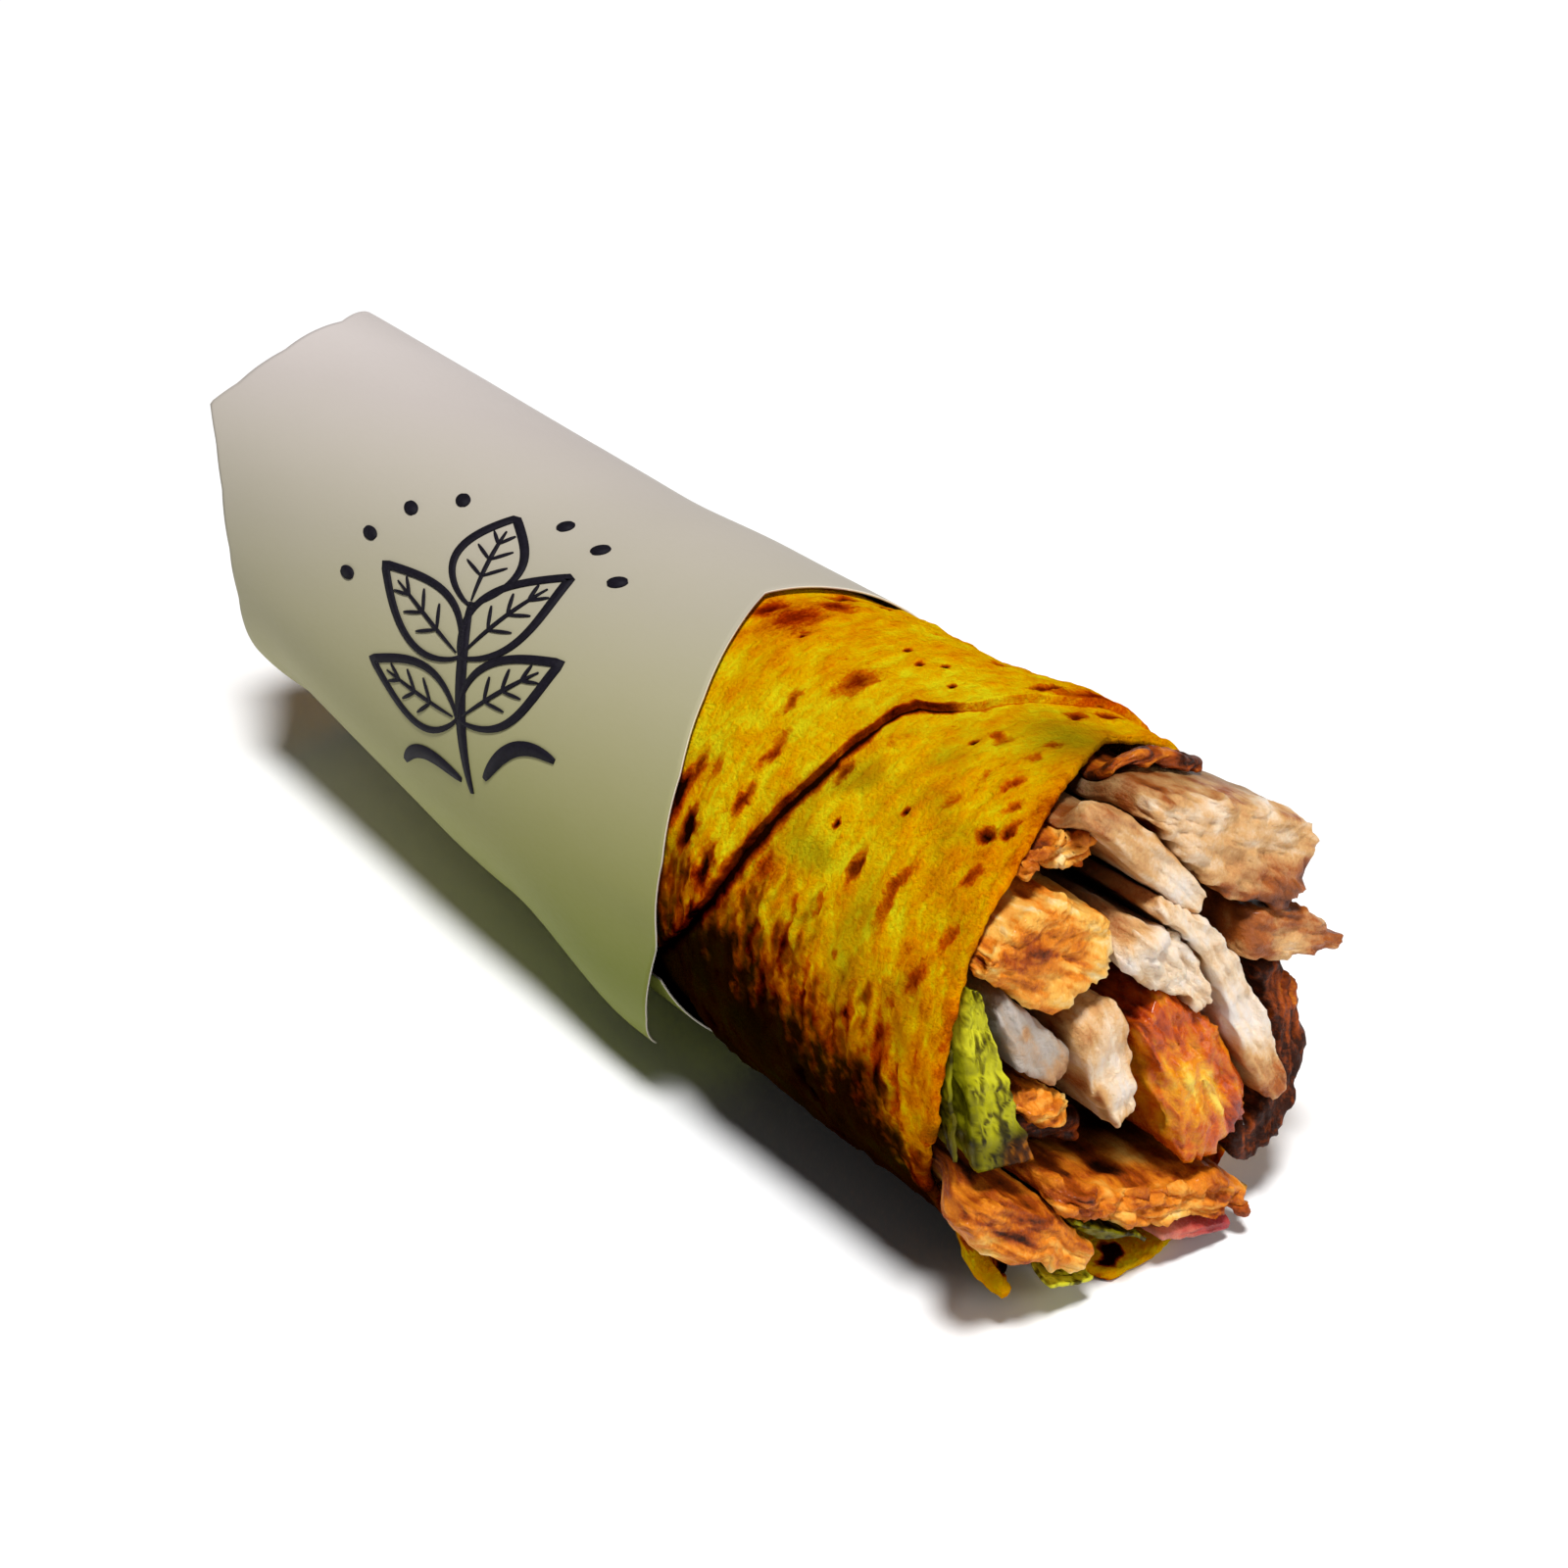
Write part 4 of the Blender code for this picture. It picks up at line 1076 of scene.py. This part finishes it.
def strip_quads(rows, count, side, cap):
    """Faces of a strip: rows of quads along it, and both ends closed across their outline."""
    quads = [grid_quads(rows, count, True)]
    k = np.arange(side - 1)
    c = np.arange(cap // 2)
    for first, way in ((0, -1), ((rows - 1) * count, 1)):
        far = first + side + cap + (side - 1 - k)
        lo = first + side - 1 + c
        hi = first + side + cap - c
        lo_back = first + 2 * side + cap - 1 + c
        hi_back = first + (2 * side + 2 * cap - c) % count
        for closing in (
            (first + k, first + k + 1, far - 1, far),
            (lo, lo + 1, hi - 1, hi),
            (lo_back, lo_back + 1, first + (hi_back - first - 1) % count, hi_back),
        ):
            quads.append(np.stack(closing, -1)[:, ::way])
    return np.concatenate(quads)


def make_strip(materials, name, spine, stand, ragged, palette, base, rough, grain=(1, 0), patches=(),
               fringe=0.12, start=FILL_START):
    step = 0.42 / DENSITY
    mid = resample(spine, step)
    cap = max(3, int(math.pi * mid[:, 2].mean() / step))
    seed = sum(ord(c) for c in name)
    browned = palette in ("glaze", "crisp")
    grain = np.array(grain) / np.linalg.norm(grain)

    def end_at(flat):
        p = np.concatenate([flat, np.full((len(flat), 1), seed * 0.13)], 1)
        torn = p.copy()
        torn[:, :2] -= 0.7 * (flat @ grain)[:, None] * grain
        wave = 1.4 * fbm(p, 4.6, 2, seed) + 1.1 * fbm(torn, 1.1, 3, seed + 3)
        return FACE + stand - FACE_LEAN * flat[:, 1] + ragged * wave

    full = outline(mid, 1.0, cap)
    count = len(full)
    ends = end_at(full)
    stations = [s + 0 * ends for s in (start, -20.0, 15.0, 40.0, 52.0, 60.0) if s >= start]
    for t in np.linspace(0, 1, int(46 * DENSITY)):
        stations.append(64.0 + (ends - END_ROUND - 64.0) * t ** 0.8)
    rings = [np.column_stack([x, full]) for x in stations]
    edges = [np.ones(count)] * len(rings)
    thick = float(mid[:, 2].max())
    for shrink in (0.985, 0.95, 0.9, 0.83, 0.75, 0.66, 0.57, 0.48, 0.39, 0.3, 0.21, 0.12, 0.04):
        flat = outline(mid, shrink, cap)
        fall = END_ROUND * (1 - math.sqrt(max(0.0, 1 - max(0.0, (shrink - 0.7) / 0.3) ** 2)))
        rings.append(np.column_stack([end_at(flat) - fall, flat]))
        edges.append(np.full(count, max(0.0, 1 - (1 - shrink) * thick / EDGE_WIDTH)))
    laid = np.concatenate(rings)
    edge = np.concatenate(edges)
    back = np.maximum(0.0, np.tile(ends, len(rings)) - laid[:, 0])
    verts = squeeze(laid)
    quads = facing_out(verts, strip_quads(len(rings), count, len(mid), cap))

    # the fibres run along the roll on the sides and along the grain on the open face
    q = laid.copy()
    q[:, 1:] -= FIBRE_STRETCH * (laid[:, 1:] @ grain)[:, None] * grain
    q[:, 0] *= 0.22
    crags = 0.55 if browned else 0.3
    lift = rough * (0.8 * fbm(laid, (12.0, 5.5, 5.5), 2, seed + 5) + 0.5 * fbm(q, 1.0, 3, seed + 7))
    lift += rough * crags * (ridges(q, (0.9, 0.6, 0.6), 3, seed + 8) - 0.27)
    shreds = np.maximum(0, ridges(q, (1.3, 1.2, 1.2), 2, seed + 14) - 0.35) ** 1.5
    lift += ragged * edge ** 2 * smooth(1 - back / 6.0) * (1.5 * shreds - 0.25)
    depth = lift / max(rough, 0.1)
    tone = patch_tone(base, patches, laid[:, 1], laid[:, 2]) + 0.24 * fbm(laid, 5.5, 2, seed + 9)
    tone += (0.6 if browned else 0.22) * fbm(q, 1.0, 3, seed + 10)
    tone += fringe * edge * smooth(0.5 + 1.6 * fbm(laid, 3.4, 2, seed + 12)) * smooth(1.4 - back / 9)
    # painted shade: darker further back from the open end and in hollows, lighter on raised bits
    tone += 0.1 * smooth(back / 6.0) - 0.12 * np.clip(depth, -1, 1)
    shade = 0.85 * smooth((back - 1.5) / 14.0) + 0.3 * np.clip(-depth - 0.15, 0, 1)
    verts = verts + normals_of(verts, quads) * (lift * smooth((laid[:, 0] - 62.0) / 8.0))[:, None]
    verts[:, 2] = np.maximum(verts[:, 2], 0.12)
    make_object(name + "_torn", verts, quads, materials[palette], name,
                {"tone": np.clip(tone, 0, 1), "shade": np.clip(shade, 0, 1)})


def make_leaf(material, name, spine, stand, start, base, patches=(), widths=(), way=(1, 0)):
    stations = [(*p, w) for p, w in zip(spine, widths or [0] * len(spine))]
    mid = resample(stations, 0.32 / DENSITY)
    seed = sum(ord(c) for c in name)
    end = FACE + stand - FACE_LEAN * mid[:, 1]
    rag = fbm(np.column_stack([mid[:, :2], 0 * end + seed]), 2.2, 3, seed)
    rows = []
    for t in np.concatenate([np.linspace(0, 0.6, 6), np.linspace(0.62, 1, int(70 * DENSITY))]):
        rows.append(np.column_stack([start + (end + 0.5 * rag - start) * t, mid[:, :2]]))
    if widths:
        reach = np.maximum(mid[:, 2], 0.25) * (1 + 0.12 * rag)
        for t in np.linspace(0, 1, int(22 * DENSITY))[1:]:
            flat = mid[:, :2] + np.array(way) * (reach * t)[:, None]
            rows.append(np.column_stack([end + 0.5 * rag + 1.1 * t, flat]))
    laid = np.concatenate(rows)
    quads = grid_quads(len(rows), len(mid), False)
    verts = squeeze(laid)
    bent = laid + 1.6 * np.stack([fbm(laid, 5.0, 2, seed + 20 + k) for k in range(3)], -1)
    crease = fbm(bent, (5.0, 2.4, 9.0), 3, seed + 1)
    fine = fbm(bent, (2.6, 1.2, 4.2), 3, seed + 2)
    lift = 0.4 * (1 - 2 * np.abs(crease)) + 0.22 * (1 - 2 * np.abs(fine)) + 0.4 * fbm(laid, 3.6, 2, seed + 4)
    fade = smooth((laid[:, 0] - 58.0) / 10.0)
    verts = verts + normals_of(verts, quads) * ((lift - 0.15) * fade)[:, None]
    verts[:, 2] = np.maximum(verts[:, 2], 0.25)
    thin = 0.05 + 0.08 * smooth(0.5 + fbm(laid, 6.0, 2, seed + 11))
    vein = np.clip((thin - np.abs(crease)) / thin, 0, 1)
    vein = np.maximum(vein, 0.6 * np.clip((0.06 - np.abs(fine)) / 0.06, 0, 1))
    vein = vein * smooth(0.75 + 1.5 * fbm(laid, 4.0, 2, seed + 12))
    tone = patch_tone(base, patches, laid[:, 1], laid[:, 2]) + 0.14 * fbm(laid, 3.5, 2, seed + 6)
    obj = make_object(name + "_blade", verts, quads, material, name,
                      {"tone": np.clip(tone, 0, 1), "vein": vein})
    thicken(obj, LEAF_THICK, 0)


# Stage


def make_stage():
    mesh = bpy.data.meshes.new("floor")
    corners = [(x * FLOOR_HALF, y * FLOOR_HALF, 0) for x, y in ((-1, -1), (1, -1), (1, 1), (-1, 1))]
    mesh.from_pydata(corners, [], [(0, 1, 2, 3)])
    n = Nodes("floor")
    colour = n.ramp(n.noise(30.0, 2.0), ((0.0, (244, 244, 244)), (1.0, (248, 248, 248))))
    mesh.materials.append(n.finish(colour, 0.9))
    floor = add_object("floor", mesh)

    world = bpy.data.worlds.new("studio")
    bpy.context.scene.world = world
    world.use_nodes = True
    background = world.node_tree.nodes["Background"]
    background.inputs["Color"].default_value = (1, 1, 1, 1)
    background.inputs["Strength"].default_value = AMBIENT

    sun = bpy.data.lights.new("key", "SUN")
    sun.energy = KEY
    sun.angle = math.radians(KEY_SOFT)
    lamp = add_object("key", sun)
    lamp.rotation_euler = Vector(KEY_FROM).to_track_quat("Z", "Y").to_euler()
    panel = bpy.data.lights.new("end_light", "AREA")
    panel.energy = END_LIGHT
    panel.size = END_LIGHT_SIZE
    lamp = add_object("end_light", panel)
    lamp.location = END_LIGHT_AT
    toward = Vector(END_LIGHT_AT) - Vector(END_LIGHT_TO)
    lamp.rotation_euler = toward.to_track_quat("Z", "Y").to_euler()


def make_camera():
    az = math.radians(CAMERA_AZ)
    el = math.radians(CAMERA_EL)
    back = Vector((math.sin(az) * math.cos(el), -math.cos(az) * math.cos(el), math.sin(el)))
    right = Vector((math.cos(az), math.sin(az), 0))
    up = back.cross(right)
    data = bpy.data.cameras.new("camera")
    data.lens = CAMERA_LENS
    data.sensor_width = 36
    data.clip_start = 0.01
    camera = add_object("camera", data)
    x, y, z = CAMERA_AT
    camera.matrix_world = Matrix((
        (right.x, up.x, back.x, x),
        (right.y, up.y, back.y, y),
        (right.z, up.z, back.z, z),
        (0, 0, 0, 1),
    ))
    bpy.context.scene.camera = camera


make_paper()
make_sprig()
make_bread()
MEATS = {key: meat_material(key) for key in PALETTES}
for node, row in STRIPS.items():
    make_strip(MEATS, node, *row)
LEAF = leaf_material()
for node, row in LEAVES.items():
    make_leaf(LEAF, node, *row)
make_stage()
make_camera()
bpy.context.scene.view_settings.view_transform = "Standard"
